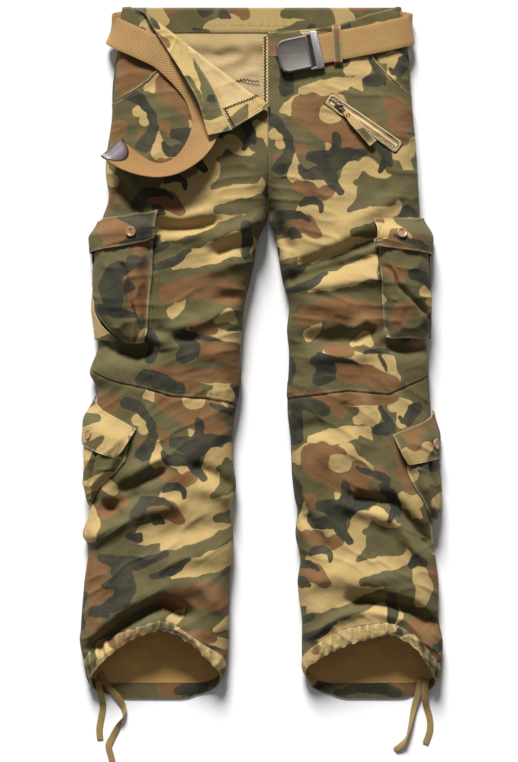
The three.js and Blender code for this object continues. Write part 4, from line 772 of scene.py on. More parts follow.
def shell(name, outer, inner, materials, fields=None, loop=False):
    """A closed wall between two grids of points, with the second material on its inner face."""
    nu, nv = outer.shape[:2]
    points = np.concatenate([outer.reshape(-1, 3), inner.reshape(-1, 3)])
    index = np.arange(2 * nu * nv).reshape(2, nu, nv)
    if loop:
        index = np.concatenate([index, index[:, :1]], axis=1)

    def quads(*corners):
        return np.stack([q.ravel() for q in corners], -1)

    top, low = index
    parts = [quads(top[:-1, :-1], top[:-1, 1:], top[1:, 1:], top[1:, :-1]),
             quads(low[:-1, :-1], low[1:, :-1], low[1:, 1:], low[:-1, 1:]),
             quads(top[:-1, 0], top[1:, 0], low[1:, 0], low[:-1, 0]),
             quads(top[:-1, -1], low[:-1, -1], low[1:, -1], top[1:, -1])]
    if not loop:
        parts += [quads(top[0, :-1], low[0, :-1], low[0, 1:], top[0, 1:]),
                  quads(top[-1, :-1], top[-1, 1:], low[-1, 1:], low[-1, :-1])]
    inside = 1 if len(materials) > 1 else 0
    which = np.concatenate([np.full(len(part), inside if i == 1 else 0) for i, part in enumerate(parts)])
    both = {key: np.concatenate([np.ravel(values)] * 2) for key, values in (fields or {}).items()}
    return new_object(name, points, np.concatenate(parts), materials, both, face_material=which)


# The least side, in metres, and the least share of its rectangle that a sheet is declared with
LEAST_CUT, LEAST_FILL = 0.0101, 0.31
LINED = ("camo", "reverse")  # printed outside, plain inside


def cut_of(grid):
    """The size that a grid of points was cut to, in metres: its width, its length and its area."""
    across = np.linalg.norm(np.diff(grid, axis=0), axis=-1).sum(0).max() / 1000
    down = np.linalg.norm(np.diff(grid, axis=1), axis=-1).sum(1).max() / 1000
    a = np.cross(grid[1:, :-1] - grid[:-1, :-1], grid[:-1, 1:] - grid[:-1, :-1])
    b = np.cross(grid[1:, 1:] - grid[:-1, 1:], grid[1:, 1:] - grid[1:, :-1])
    area = (np.linalg.norm(a, axis=-1) + np.linalg.norm(b, axis=-1)).sum() / 2e6
    return max(across, LEAST_CUT), max(down, LEAST_CUT), area


def place_piece(obj, nodes=(), body="trousers"):
    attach(obj, body)
    if nodes:
        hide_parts(*nodes)
    return obj


def cloth_piece(name, outer, inner, nodes=(), fields=None, materials=("camo",),
                body="trousers", loop=False):
    obj = place_piece(shell(name, outer, inner, materials, fields, loop), nodes, body)
    width, length, area = cut_of(np.concatenate([outer, outer[:1]]) if loop else outer)
    min(max(area, LEAST_FILL * width * length), width * length)


def steps(*parts):
    """Numbers over several stretches, each given as from, to and count."""
    made = [np.linspace(a, b, n + 1) for a, b, n in parts]
    return np.concatenate([made[0]] + [part[1:] for part in made[1:]])


def grid_of(us, vs):
    return np.meshgrid(us, vs, indexing="ij")


def even_grid(nu, nv):
    return grid_of(np.linspace(0, 1, nu), np.linspace(0, 1, nv))


def printed(points, home, **extra):
    fields = camouflage(points[..., 0], points[..., 1], home)
    fields["wear"] = np.zeros(points.shape[:-1])
    fields.update(extra)
    return fields


# A flat strap along a route of stations
def station(route, share):
    names = ("x", "y", "z", "turn", "lean")
    count = len(route["x"])
    at = np.asarray(share, float) * (count - 1)
    i = np.minimum(count - 2, np.floor(at).astype(int))
    return {name: catmull(route[name], i, at - i) for name in names}


def on_strap(route, share, side, lift, width):
    share = np.asarray(share, float)
    here, before, after = (station(route, np.clip(share + step, 0, 1)) for step in (0, -0.002, 0.002))
    ahead = unit(np.stack([after[axis] - before[axis] for axis in "xyz"], -1))
    turn, lean = np.radians(here["turn"]), np.radians(here["lean"])
    across = np.stack([np.cos(turn) * np.cos(lean), np.sin(turn) * np.cos(lean), np.sin(lean)], -1)
    across = unit(across - ahead * np.sum(across * ahead, -1, keepdims=True))
    off = unit(np.cross(ahead, across))
    middle = np.stack([here[axis] for axis in "xyz"], -1)
    return middle + across * (np.asarray(side) * width / 2)[..., None] + off * np.asarray(lift)[..., None]


# Ties, made before the other pieces
TIE_SECTION = [(0.6, 1), (0.9, 0.6), (1, 0), (0.9, -0.6), (0.6, -1), (-0.6, -1), (-0.9, -0.6), (-1, 0),
               (-0.9, 0.6), (-0.6, 1)]


def make_tie(name, stations):
    table = rows(("x", "y", "z", "turn", "lean"), stations)
    route = {key: values * (1000 if key in "xyz" else 1) for key, values in table.items()}
    shares = np.linspace(0, 1, 8 * (len(stations) - 1) + 1)
    side, lift = np.array(TIE_SECTION).T
    share, side = grid_of(shares, side)
    lift = np.broadcast_to(lift, share.shape)
    rings = on_strap(route, share, side, lift * TAPE["wall"] / 2, TAPE["width"])
    centre = on_strap(route, shares, 0 * shares, 0 * shares, TAPE["width"])
    run = run_along(centre)
    n = len(TIE_SECTION)
    fields = {"run": np.repeat(run, n), "side": side * TAPE["width"] / 2}
    faces = tube_faces(len(shares), n, way=1)
    obj = new_object(name + "_tape", rings.reshape(-1, 3), faces, ["tie"], fields, 30)
    place_piece(obj, [name])
    every = max(1, len(centre) // 36)
    path = centre[::every] / 1000
    if len(centre) % every != 1:
        path = np.concatenate([path, centre[-1:] / 1000])
    tuple(path[0])


for tie_name, tie_stations in TIES.items():
    make_tie(tie_name, tie_stations)

# Front panels
HOME = {
    ("upper", "left"): (103, 273), ("lower", "left"): (116, -219),
    ("upper", "right"): (-89, 305), ("lower", "right"): (-90, -130),
}


def left_waist(x):
    return np.interp(x, [9, 67, 107, 153, 197, 260], [453, 457, 462, 478, WAIST_TOP, WAIST_TOP])


def right_waist(x):
    return WAIST_TOP - np.maximum(0, x - RIGHT_WAIST["from"]) * RIGHT_WAIST["fall"]


def fold_y(x):
    return FOLD["y"] - (x - FOLD["x"]) * math.tan(FOLD["slope"])


def waist_x(leg, u):
    return front_place(leg, u, np.full(np.shape(u), 455.0))[0]


def top_edge(leg, u):
    x = waist_x(leg, u)
    if leg is LEFT:
        return left_waist(x) - WAISTBAND - SEAM_GAP
    return np.minimum(right_waist(x) - WAISTBAND, fold_y(x)) - SEAM_GAP


ACROSS = steps((EDGE, TOP_FROM, 22), (TOP_FROM, TOP_TO, 64), (TOP_TO, 1 - EDGE, 18))


def edge_wear(*distances):
    return sum(np.exp(-((d / 1.6) ** 2)) for d in distances)


HIP_POCKET_HOME = (-280, 333)  # the print on the right hip pocket's own cloth


def make_front(leg, part):
    if part == "upper":
        top, bottom = (lambda u: top_edge(leg, u)), leg.edges["knee"]
        nodes = [f"front_upper_{leg.side}", f"hip_pocket_bearer_{leg.side}"]
        count = 220
    else:
        top, bottom = (lambda u: leg.edges["knee"](u) - SEAM_GAP), leg.edges["casing"]
        nodes = [f"front_lower_{leg.side}"]
        count = 165
    u, v = grid_of(ACROSS, np.linspace(0, 1, count + 1))
    y = mix(top(u), bottom(u), v)
    outer = front(leg, u, y)
    inner = front(leg, u, y, np.full(u.shape, -CLOTH))
    x = outer[..., 0]
    knee = y - leg.edges["knee"](u)
    wear = edge_wear(knee - 3) * 0.6
    if part == "upper":
        wear = wear + 0.6 * edge_wear(mouth_side(leg, x, y) + 1)
    fields = printed(outer, HOME[part, leg.side], wear=wear)
    if part == "upper" and leg is RIGHT:
        own = camouflage(x, y, HIP_POCKET_HOME)
        beside = mouth_side(leg, x, y) > 0
        fields.update({ink: np.where(beside, own[ink], fields[ink]) for ink in own})
    cloth_piece(f"front_{part}_{leg.side}_cloth", outer, inner, nodes, fields, LINED)


for leg in LEGS:
    for part in ("upper", "lower"):
        make_front(leg, part)

# Backs: flat on the surface, in one length each
BACK_HOME = {"right": (-130, 60), "left": (150, 100)}


def make_back(leg):
    us = steps((EDGE, BACK_FROM, 8), (BACK_FROM, BACK_TO, 36), (BACK_TO, 1 - EDGE, 8))
    u, v = grid_of(us, np.linspace(0, 1, 200))
    y = mix(WAIST_TOP - WAISTBAND - SEAM_GAP, leg.edges["back_hem"](u) + 21, v)
    outer = back(leg, u, y, np.zeros(u.shape))
    loose = smooth(6 * u) * smooth(6 * (1 - u)) * smooth((1 - v) * 20) * smooth(v * 30)
    crinkle = 3.2 * (1 - np.abs(noise(outer[..., 0] * 0.7 + y * 0.5, y - outer[..., 0] * 0.4, 26, 51))) ** 3
    crinkle = (crinkle + 0.6 + 0.6 * noise(outer[..., 0], y, 18, 52)) * loose
    outer = back(leg, u, y, -0.5 * crinkle)
    inner = back(leg, u, y, -CLOTH - crinkle)
    # Painted shade: the inside of the leg goes over to a warmer brown towards the hem, where it lies in
    # shade
    fields = printed(outer, BACK_HOME[leg.side], deep=smooth((-330 - y) / 90))
    cloth_piece(f"back_{leg.side}_cloth", outer, inner, [f"back_{leg.side}"], fields, LINED)


for leg in LEGS:
    make_back(leg)

# Hem casings, gathered on their ties
GATHERS = {"front": 17, "back": 19, "rise": 2.3}
CASING_HOME = {"right": (-70, 176), "left": (100, 180)}
BACK_CASING_HOME = {"right": (12, 212), "left": (60, -149, -1)}


def gather(u, count, seed):
    wave = np.sin(2 * math.pi * count * (u + 0.012 * noise(u * 300, u * 0, 22, seed)))
    strength = 0.75 + 0.45 * noise(u * 300, u * 0 + 9, 30, seed + 1)
    return wave * strength * smooth(6 * u) * smooth(6 * (1 - u))


def make_casings(leg):
    us = steps((EDGE, TOP_FROM, 70), (TOP_FROM, TOP_TO, 150), (TOP_TO, 1 - EDGE, 50))
    u, v = grid_of(us, np.linspace(0, 1, 11))
    y = mix(leg.edges["casing"](u) - 2 * SEAM_GAP, leg.edges["hem"](u), v)
    pucker = GATHERS["rise"] * gather(u, GATHERS["front"], 61) * (0.6 + 0.4 * np.sin(math.pi * v))
    pucker = pucker + 0.5 * noise(u * 700, v * 60 + u * 200, 9, 63) * smooth(8 * u) * smooth(8 * (1 - u))
    round_over = 1.5 * np.sin(math.pi * np.clip(v, 0.02, 0.98)) ** 0.5
    outer = front(leg, u, y, pucker + round_over)
    outer[..., 1] += 1.7 * gather(u, GATHERS["front"], 65) * v
    inner = front(leg, u, y, np.full(u.shape, -2.0) + 0.5 * pucker)
    wear = 0.9 * edge_wear((v - 1) * 12, v * 12) + 0.35 * np.clip(pucker, 0, 1)
    cloth_piece(f"hem_front_{leg.side}_cloth", outer, inner, [f"hem_casing_front_{leg.side}"],
                printed(outer, CASING_HOME[leg.side], wear=wear), LINED)
    u, v = grid_of(np.linspace(EDGE, 1 - EDGE, 220), np.linspace(0, 1, 9))
    y = mix(leg.edges["back_hem"](u) + 20, leg.edges["back_hem"](u), v)
    pucker = 1.5 * gather(u, GATHERS["back"], 67)
    outer = back(leg, u, y, np.minimum(0, pucker))
    inner = back(leg, u, y, -2.8 - np.abs(pucker) * np.sin(math.pi * v))
    outer[..., 1] += 1.2 * gather(u, GATHERS["back"], 67) * v
    cloth_piece(f"hem_back_{leg.side}_cloth", outer, inner, [f"hem_casing_back_{leg.side}"],
                printed(inner, BACK_CASING_HOME[leg.side]))


for leg in LEGS:
    make_casings(leg)

# The fly corner of the right front is turned down over the fold line: places as cut go to places as folded
FOLD_ALONG = np.array([math.cos(FOLD["slope"]), -math.sin(FOLD["slope"])])
FOLD_OVER = np.array([math.sin(FOLD["slope"]), math.cos(FOLD["slope"])])


def seat_height(x, y):
    return on_front(RIGHT, x, y)[..., 2]


def turned_down(x, y, lift):
    x, y, lift = np.broadcast_arrays(np.asarray(x, float), np.asarray(y, float), np.asarray(lift, float))
    place = np.stack([x - FOLD["x"], y - FOLD["y"]], -1)
    run, past = place @ FOLD_ALONG, place @ FOLD_OVER
    radius = FOLD["radius"]
    flat = on_front(RIGHT, x, y, lift)
    angle = np.clip(past / radius, 0, math.pi)
    beyond = np.maximum(0, past - math.pi * radius)
    eased = beyond * mix(0.8, 0.9, smooth((run + 60) / 70))
    slide = 11 * smooth(beyond / 40) * (1 - smooth((run + 70) / 80))
    back_by = (radius - lift) * np.sin(angle) - eased
    spot = FOLD_ALONG * (run + slide)[..., None] + FOLD_OVER * back_by[..., None]
    px, py = FOLD["x"] + spot[..., 0], FOLD["y"] + spot[..., 1]
    raised = FOLD["lift"] * smooth(eased / 55)
    wave = 0.9 * noise(run, past, 19, 71) * smooth(eased / 12)
    pz = seat_height(px, py) + radius - (radius - lift) * np.cos(angle) + raised + wave
    return np.where((past <= 0)[..., None], flat, np.stack([px, py, pz], -1))


def as_cut(run, past):
    return (FOLD["x"] + FOLD_ALONG[0] * run + FOLD_OVER[0] * past,
            FOLD["y"] + FOLD_ALONG[1] * run + FOLD_OVER[1] * past)


# The turned corner along the fold line: its ends, its peak and where its two edges would meet the line
TURN = {"from": -100, "peak": 21, "to": 40, "depth": 75, "near": -122, "far": 46}


def turn_depth(run):
    rising = (run - TURN["near"]) / (TURN["peak"] - TURN["near"])
    falling = (TURN["far"] - run) / (TURN["far"] - TURN["peak"])
    return np.maximum(2, TURN["depth"] * np.where(run < TURN["peak"], rising, falling))


BAND_PROUD = 0.5
RIGHT_SIDE_X = float(RIGHT.outer(470))
RIGHT_BAND_HOME = (-86, 44)


def band_swell(v):
    """A waistband is fuller between its stitched edges."""
    return 0.5 * smooth(np.minimum(v, 1 - v) * 9)


def band_wear(v):
    return 0.6 * edge_wear((v - 0.02) * WAISTBAND, (v - 0.98) * WAISTBAND)


def right_band_face(u, v, lift):
    """The turned right band. Below 1, u runs across the side seam. Above 1, it adds millimetres."""
    x = u - 1 + RIGHT_SIDE_X
    near = front(RIGHT, np.clip(u, EDGE, 1), right_waist(RIGHT_WAIST["from"]) - WAISTBAND * (1 - v), lift)
    return np.where((u < 1)[..., None], near, turned_down(x, right_waist(x) - WAISTBAND * (1 - v), lift))


def left_band_face(u, v, lift):
    return front(LEFT, u, left_waist(waist_x(LEFT, u)) - WAISTBAND * v, lift)


def back_band_face(u, v, lift):
    y = WAIST_TOP - WAISTBAND * v
    sides = []
    for leg, place in ((RIGHT, u + 2), (LEFT, 2 - u)):
        points = back(leg, np.clip(place, EDGE, 1), y, lift)
        points[..., 0] = np.where(np.abs(place - 1) < 1e-9, CENTRE_X, points[..., 0])
        sides.append(points)
    return np.where((u < 0)[..., None], *sides)


def make_band_right():
    us = np.concatenate([np.linspace(EDGE, 0.2, 24)[:-1], 1 + np.linspace(-181, 36, 150) - RIGHT_SIDE_X])
    u, v = grid_of(us, np.linspace(0, 1, 19))
    outer = right_band_face(u, v, BAND_PROUD + band_swell(v))
    inner = right_band_face(u, v, BAND_PROUD - BAND + 0 * v)
    flat_x = np.where(u < 1, -200 + u * 100, u - 1 + RIGHT_SIDE_X)
    fields = dict(camouflage(flat_x, 400 + WAISTBAND * v, RIGHT_BAND_HOME), wear=band_wear(v))
    cloth_piece("band_front_right", outer, inner, ["waistband_front_right"], fields)


def make_band_left():
    u, v = grid_of(ACROSS, np.linspace(0, 1, 19))
    outer = left_band_face(u, v, BAND_PROUD + band_swell(v))
    inner = left_band_face(u, v, BAND_PROUD - BAND + 0 * v)
    fields = printed(outer, (184, 356), wear=band_wear(v))
    cloth_piece("band_front_left", outer, inner, ["waistband_front_left"], fields)


def make_band_back():
    one = steps((EDGE, BACK_FROM, 8), (BACK_FROM, BACK_TO, 44), (BACK_TO, 1, 8))
    us = np.concatenate([one - 2, (2 - one[:-1])[::-1]])
    u, v = grid_of(us, np.linspace(0, 1, 19))
    outer = back_band_face(u, v, 0 * v)
    x = outer[..., 0]
    seam = np.exp(-(((v - 0.72) * 35 / 5) ** 2))
    swell = band_swell(v) + 0.5 * np.sin(x / 1.9 + 3 * noise(x, 0 * v, 25, 53)) * seam
    inner = back_band_face(u, v, -BAND - swell)
    cloth_piece("band_back", outer, inner, ["waistband_back"], printed(inner, (4, 92), wear=band_wear(v)))


make_band_right()
make_band_left()
make_band_back()


def make_fly_corner():
    u, v = grid_of(np.linspace(TURN["from"], TURN["to"], 90), steps((0, 0.24, 20), (0.24, 1, 34)))
    past = mix(SEAM_GAP, turn_depth(u) - SEAM_GAP, v)
    x, y = as_cut(u, past)
    outer, inner = turned_down(x, y, 0.0), turned_down(x, y, -CLOTH)
    fields = dict(camouflage(x, y, HOME["upper", "right"]), wear=edge_wear(past - 7))
    cloth_piece("fly_corner_cloth", outer, inner, ["fly_corner_right"], fields, LINED)


def facing_place(u, v):
    """The facing lies along the fly edge, from the fold line to the waistband. Gives a place as cut."""
    run = mix(mix(43.5, 21, u), mix(21, -8, u), v)
    past = mix(mix(4, 71, u), mix(4, 56, u), v)
    return as_cut(run, past)


def make_fly_facing():
    u, v = even_grid(40, 24)
    x, y = facing_place(u, v)
    lower, upper = turned_down(x, y, -CLOTH - 0.8), turned_down(x, y, -CLOTH - 2.0)
    fields = dict(camouflage(x, y, (-14, -37)), wear=edge_wear(v * 26))
    cloth_piece("fly_facing_cloth", upper, lower, ["fly_facing_right"], fields)


SHIELD = {"outer": 2, "inner": 40, "top": 446, "low": 352, "under": 3.2, "wall": 1.4}


def shield_place(x, y, lift):
    """A point of the fly shield, which lies a little under the left front beside it."""
    beside = across_at(LEFT, np.full(y.shape, float(SHIELD["inner"])), y)
    z = front_base(LEFT, beside, y)[..., 2] - SHIELD["under"]
    return np.stack([x, y, z + 0.7 * noise(x, y, 16, 81) + lift], -1)


def make_fly_shield():
    u, v = even_grid(14, 40)
    outer = shield_place(mix(SHIELD["outer"], SHIELD["inner"], u), mix(SHIELD["top"], SHIELD["low"], v), 0)
    inner = outer - [0, 0, SHIELD["wall"]]
    cloth_piece("fly_shield_cloth", outer, inner, ["fly_shield_left"], None, ["reverse"])


make_fly_corner()
make_fly_facing()
make_fly_shield()

# Belt
BELT_END, TIP_START = 0.996, 0.94  # shares of the route: the webbing's end, and the tip's furthest start
TIP_WIDTH = 0.99  # the part of the belt's width that the round start of the tip takes up


def belt_point(share, side, lift):
    return on_strap(BELT_ROUTE, share, side, lift, BELT["width"])


def make_belt():
    shares = np.linspace(0, BELT_END, 430)
    share, side = grid_of(shares, np.array([-1, -0.94, -0.7, -0.35, 0, 0.35, 0.7, 0.94, 1.0]))
    half = BELT["wall"] / 2 * np.where(np.abs(side) > 0.97, 0.55, 1)
    outer, inner = belt_point(share, side, half), belt_point(share, side, -half)
    run = run_along(belt_point(shares, 0 * shares, 0 * shares))
    # Towards its end the webbing is painted darker, as painted shade
    fields = {"run": np.broadcast_to(run[:, None], share.shape), "side": side * BELT["width"] / 2,
              "painted_shade": smooth((share - 0.7) / 0.14)}
    cloth_piece("belt_strap", outer, inner, ["belt_webbing"], fields, ["webbing"])


def make_belt_tip():
    """A leather end, flat at its end and rounded towards the webbing."""
    share, side = grid_of(np.linspace(0, 1, 25), np.linspace(-1, 1, 25))
    reach = np.sqrt(np.clip(1 - (TIP_WIDTH * side) ** 2, 0, 1))
    at = mix(mix(BELT_END, TIP_START, reach), 1.0, share)
    edge = np.minimum(np.minimum(share, 1 - share) * 24, (1 - np.abs(side)) * 22)
    half = 1.25 + 0.75 * smooth(edge / 1.6) + 1.1 * smooth(edge / 9)
    outer, inner = belt_point(at, side * 1.045, half), belt_point(at, side * 1.045, -half)
    # The tip's middle is painted lighter, as a painted highlight
    fields = {"rim": 1 - smooth(edge / 3.2 - 0.4), "painted_highlight": smooth(edge / 11 - 0.25)}
    place_piece(shell("belt_leather_tip", outer, inner, ["leather"], fields), ["belt_tip"])


make_belt()
make_belt_tip()

# Buckle
BUCKLE = {"x": 53, "y": 421, "z": 38.4, "turn": 12, "lean": -6, "height": 48}


def on_buckle(points):
    """Points given along the belt, across it and off it, put where the buckle lies."""
    turn, lean = math.radians(BUCKLE["turn"]), math.radians(BUCKLE["lean"])
    x, y, z = np.moveaxis(np.asarray(points, float), -1, 0)
    y, z = y * math.cos(lean) - z * math.sin(lean), y * math.sin(lean) + z * math.cos(lean)
    x, y = x * math.cos(turn) - y * math.sin(turn), x * math.sin(turn) + y * math.cos(turn)
    return np.stack([x, y, z], -1) + [BUCKLE["x"], BUCKLE["y"], BUCKLE["z"]]


def rounded_outline(width, height, left, right, count=8):
    """An outline with round corners: left and right are the radii at its two ends."""
    w, h = width / 2, height / 2
    points = []
    for cx, cy, r, start in ((-w + left, -h + left, left, 180), (w - right, -h + right, right, 270),
                             (w - right, h - right, right, 0), (-w + left, h - left, left, 90)):
        for k in range(count + 1):
            a = math.radians(start + 90 * k / count)
            points.append((cx + r * math.cos(a), cy + r * math.sin(a)))
    return np.array(points)


def plate(name, outline, rings, at, material, place):
    """A closed plate: rings of an outline, each shrunk by an inset and put at a height, with capped ends."""
    loops = []
    for inset, z in rings:
        x, y = (outline * (1 - inset / np.abs(outline).max(0))).T
        loops.append(place(np.column_stack([x + at[0], y + at[1], np.full(len(outline), z + at[2])])))
    faces = tube_faces(len(rings), len(outline))
    return new_object(name, np.concatenate(loops), faces, [material], sharp=28)


# The buckle's plates: outline, rings as inset and height, middle, material and the nodes each replaces
ARM = rounded_outline(13, 3.6, 1, 1), [(0.4, 0), (0, 0.4), (0, 3.4), (0.5, 4.0)]
BUCKLE_PLATES = {
    "buckle_face": (rounded_outline(46.5, BUCKLE["height"], 11, 1.5, 2),
                    [(1.5, 0.4), (0, 1.2), (0, 3.6), (0.5, 4.4), (1.2, 4.8), (2.6, 4.8), (3.0, 4.4),
                     (3.3, 4.3)], (-7, 0, -0.2), "buckle", ["buckle_plate"]),
    "buckle_bar_metal": (rounded_outline(11.5, 55, 2.2, 4),
                         [(0.6, 0), (0, 0.6), (0, 3.8), (0.5, 4.5), (1.2, 4.7)],
                         (26.2, 0, -0.6), "bright", ["buckle_bar"]),
    # A near-black plate in the gap between the face and the bar, standing in for the gap's shadow
    "buckle_gap_shade": (rounded_outline(4.0, 45.6, 0.5, 0.5), [(0.3, 0), (0, 0.3), (0, 1.4), (0.4, 1.8)],
                     (18.35, 0, 0.6), "gap_shade", ()),
    "buckle_arm_low": (*ARM, (18.5, -24.6, -0.4), "bright", ()),
    "buckle_arm_high": (*ARM, (18.5, 24.6, -0.4), "bright", ()),
}


def make_buckle():
    for name, (outline, rings, at, material, nodes) in BUCKLE_PLATES.items():
        place_piece(plate(name, outline, rings, at, material, on_buckle), nodes)


make_buckle()

# Belt loops
LOOP = {"width": 12, "wall": 1.2, "x": 101, "top": 463, "low": 405, "lean": 3}
BACK_LOOPS = {"right": -120, "centre": CENTRE_X, "left": 140}  # the middle of each, in x


def make_loops():
    u, v = grid_of(np.linspace(0, 1, 9), steps((0, 0.12, 10), (0.12, 0.9, 26), (0.9, 1, 10)))
    x = mix(LOOP["x"], LOOP["x"] + LOOP["width"], u) + (v - 0.5) * LOOP["lean"]
    y = mix(LOOP["top"], LOOP["low"], v)
    over = smooth(v / 0.12) * smooth((1 - v) / 0.085)
    low = on_front(LEFT, x, y)[..., 2] + 0.8
    z = mix(low, 37.9 - (y - 437) * 0.12, over) + 0.25 * np.cos(2 * math.pi * (u - 0.5)) * over
    inner = np.stack([x, y, z], -1)
    outer = inner + [0, 0, LOOP["wall"]]
    fields = printed(outer, (150, 395), wear=edge_wear(u * 12 - 0.5, (1 - u) * 12 - 0.5))
    cloth_piece("loop_front_left", outer, inner, ["belt_loop_front_left"], fields)
    for name, middle in BACK_LOOPS.items():
        u, v = grid_of(np.linspace(-1, 1, 7), np.linspace(-1, 1, 15))
        x, y = middle + u * LOOP["width"] / 2, LOOP["top"] + v * 25
        rise = 0.12 * (1 - u**2) * (1 - v**2)
        upper = np.stack([x, y, 1.2 + rise], -1)
        under = np.stack([x, y, 0 * x + 0.02], -1)
        fields = printed(upper, (middle + 40, 380), wear=edge_wear((1 - np.abs(u)) * 6))
        cloth_piece(f"loop_back_{name}", upper, under, [f"belt_loop_back_{name}"], fields)


make_loops()


# Pockets
def off_front(leg, u, y, lift):
    """A point off the front. Past the side seam it runs on round the side to the back."""
    lift = np.broadcast_to(np.asarray(lift, float), np.shape(u))
    ahead = front(leg, np.maximum(u, 0.0007), y, lift)
    beyond = np.clip(-u * (BACK_FROM / TOP_FROM) * 1.2, 0, 1)
    behind = back(leg, beyond, y, lift + 4 * smooth(-u / 0.02))
    behind[..., 2] = np.maximum(behind[..., 2], lift * 0.3 + 0.4)
    return np.where((u >= 0.0007)[..., None], ahead, behind)


def plump(k):
    return 1 - np.abs(2 * k - 1) ** 3


# Each edge gives its y at the outer and the inner side. button is its share across the flap, its share
# down it and how far it stands off. home places the print. face gives, from the top down, the shares
# across a body between which its face lies: what is outside them is its gusset or is cut away.
POCKETS = [
    {"name": "cargo_pocket_right", "leg": RIGHT, "span": (-0.06, 0.37), "top": (158, 158),
     "bottom": (18, 16), "loft": 13, "sewn": 1.6,
     "flap": {"span": (-0.05, 0.372), "top": (184, 199), "bottom": (138, 157)},
     "face": [(0, 0.26, 1), (0.12, 0.2, 1), (0.28, 0.1, 1), (0.42, 0.09, 1), (0.56, 0.14, 1),
              (0.68, 0.24, 1), (0.8, 0.36, 1), (0.9, 0.48, 0.99), (1, 0.66, 0.97)],
     "crease": [(0.62, 0.25), (0.72, 0.62), (0.94, 0.98)],
     "button": (0.72, 0.6, 0.15), "home": (-53, -107, -1), "flap_home": (-63, 352)},
    {"name": "cargo_pocket_left", "leg": LEFT, "span": (-0.06, 0.33), "top": (158, 160), "bottom": (18, 22),
     "loft": 13, "sewn": 0.9, "flap": {"span": (-0.05, 0.352), "top": (190, 189), "bottom": (134, 152)},
     "face": [(0, 0.16, 1), (0.5, 0.12, 1), (0.85, 0.1, 1), (1, 0.14, 0.97)],
     "crease": [(0.97, 0.24), (0.6, 0.58), (0.12, 0.93)],
     "button": (0.62, 0.5, -0.55), "home": (315, 51), "flap_home": (169, 107)},
    {"name": "calf_pocket_right", "leg": RIGHT, "span": (-0.035, 0.31), "top": (-96, -128),
     "bottom": (-216, -216), "loft": 9, "sewn": 0.9,
     "flap": {"span": (-0.05, 0.35), "top": (-62, -108), "bottom": (-124, -152)},
     "face": [(0, 0.04, 1), (0.3, 0.04, 0.94), (0.5, 0.05, 0.78), (0.75, 0.08, 0.5), (1, 0.12, 0.24)],
     "crease": [(0.5, 0.2), (0.3, 0.9)],
     "button": (0.4, 0.66, 0.15), "skew": 0.1, "home": (-10, -101), "flap_home": (56, -197, -1)},
    {"name": "calf_pocket_left", "leg": LEFT, "span": (-0.06, 0.22), "top": (-104, -140),
     "bottom": (-238, -234), "loft": 9, "sewn": 1.1,
     "flap": {"span": (-0.05, 0.31), "top": (-82, -116), "bottom": (-146, -160)},
     "face": [(0, 0.04, 1), (0.3, 0.04, 1), (0.6, 0.06, 0.88), (0.85, 0.12, 0.68), (1, 0.2, 0.5)],
     "crease": [(0.6, 0.2), (0.4, 0.9)],
     "button": (0.36, 0.62, 0.28), "skew": 0.08, "home": (-118, -101, -1), "flap_home": (120, -157)},
]
POCKET_WALL = 1.3
FLAP_SEWN = 0.8
GUSSET_HOME = {"right": (-225, 160), "left": (235, 140)}
SLIT = 0.05  # the gap between a cargo pocket's face and its gusset, as a share of its width


def face_edges(pocket, v):
    down, outer, inner = (np.array(k, float) for k in zip(*pocket["face"]))
    return np.interp(v, down, outer), np.interp(v, down, inner)


def cut_place(shape, at, v):
    """Where a place of a pocket or a flap is on its leg: its share across the front, and its y."""
    return mix(*shape["span"], at), mix(mix(*shape["top"], at), mix(*shape["bottom"], at), v)


def pocket_face(pocket, u, v, lift):
    """A point of a pocket's face, where u runs across it and v down it."""
    at = mix(*face_edges(pocket, v), u)
    across, y = cut_place(pocket, at, v)
    baggy = smooth((1 - u) * 4.5) * mix(0.6, 1, smooth(u * 4)) * plump(mix(0.12, 0.97, v))
    away, _, _ = path_distance([(a * 60, b * 140) for a, b in pocket["crease"]], at * 60, v * 140)
    full = pocket["sewn"] + pocket["loft"] * baggy - 6.0 * np.exp(-((away / 2.2) ** 2)) * baggy
    crumple = 2.4 * (1 - np.abs(noise(across * 260, y, 22, 91))) ** 3 * smooth(u * 5) * smooth((1 - u) * 5)
    return off_front(pocket["leg"], across, y, full + crumple + lift)


def gusset_face(pocket, u, v, lift):
    """A point of a cargo pocket's gusset, from its outer sewn side to the slit beside the face."""
    across, y = cut_place(pocket, mix(0.0, np.maximum(0.03, face_edges(pocket, v)[0] - SLIT), u), v)
    full = pocket["sewn"] + 0.62 * pocket["loft"] * smooth(u * 2.2) * plump(mix(0.1, 0.95, v))
    full = full + 0.8 * noise(across * 260, y, 15, 95) * smooth(u * 3)
    return off_front(pocket["leg"], across, y, full + lift)


def flap_face(pocket, u, v, lift):
    """A point of a pocket's flap, with its lower corners rounded off."""
    across, y = cut_place(pocket["flap"], u, v)
    y = y + 7 * v**3 * np.maximum(0, 1 - np.minimum(u, 1 - u) / 0.09) ** 2
    rise = mix(FLAP_SEWN, pocket["loft"] + 3.4, smooth(v * 1.8))
    taper = mix(0.62, 1, smooth(np.minimum(u, 1 - u) * 5))
    wave = 1.0 * noise(across * 260, y, 20, 93) * v + 0.5 * np.sin(across * 150) * v**2
    across = across - pocket.get("skew", 0) * v * u
    return off_front(pocket["leg"], across, y, rise * mix(1, taper, v) + wave + lift)


# A button from its middle outwards, over its rim and back under it: radius and height
BUTTON_PROFILE = [(0.01, 1.7), (1.0, 1.7), (2.6, 1.75), (3.6, 1.9), (5.0, 2.1), (5.9, 2.5), (6.7, 2.5),
                  (7.3, 2.0), (7.5, 1.2), (7.3, 0.3), (6.4, 0), (0.01, 0)]


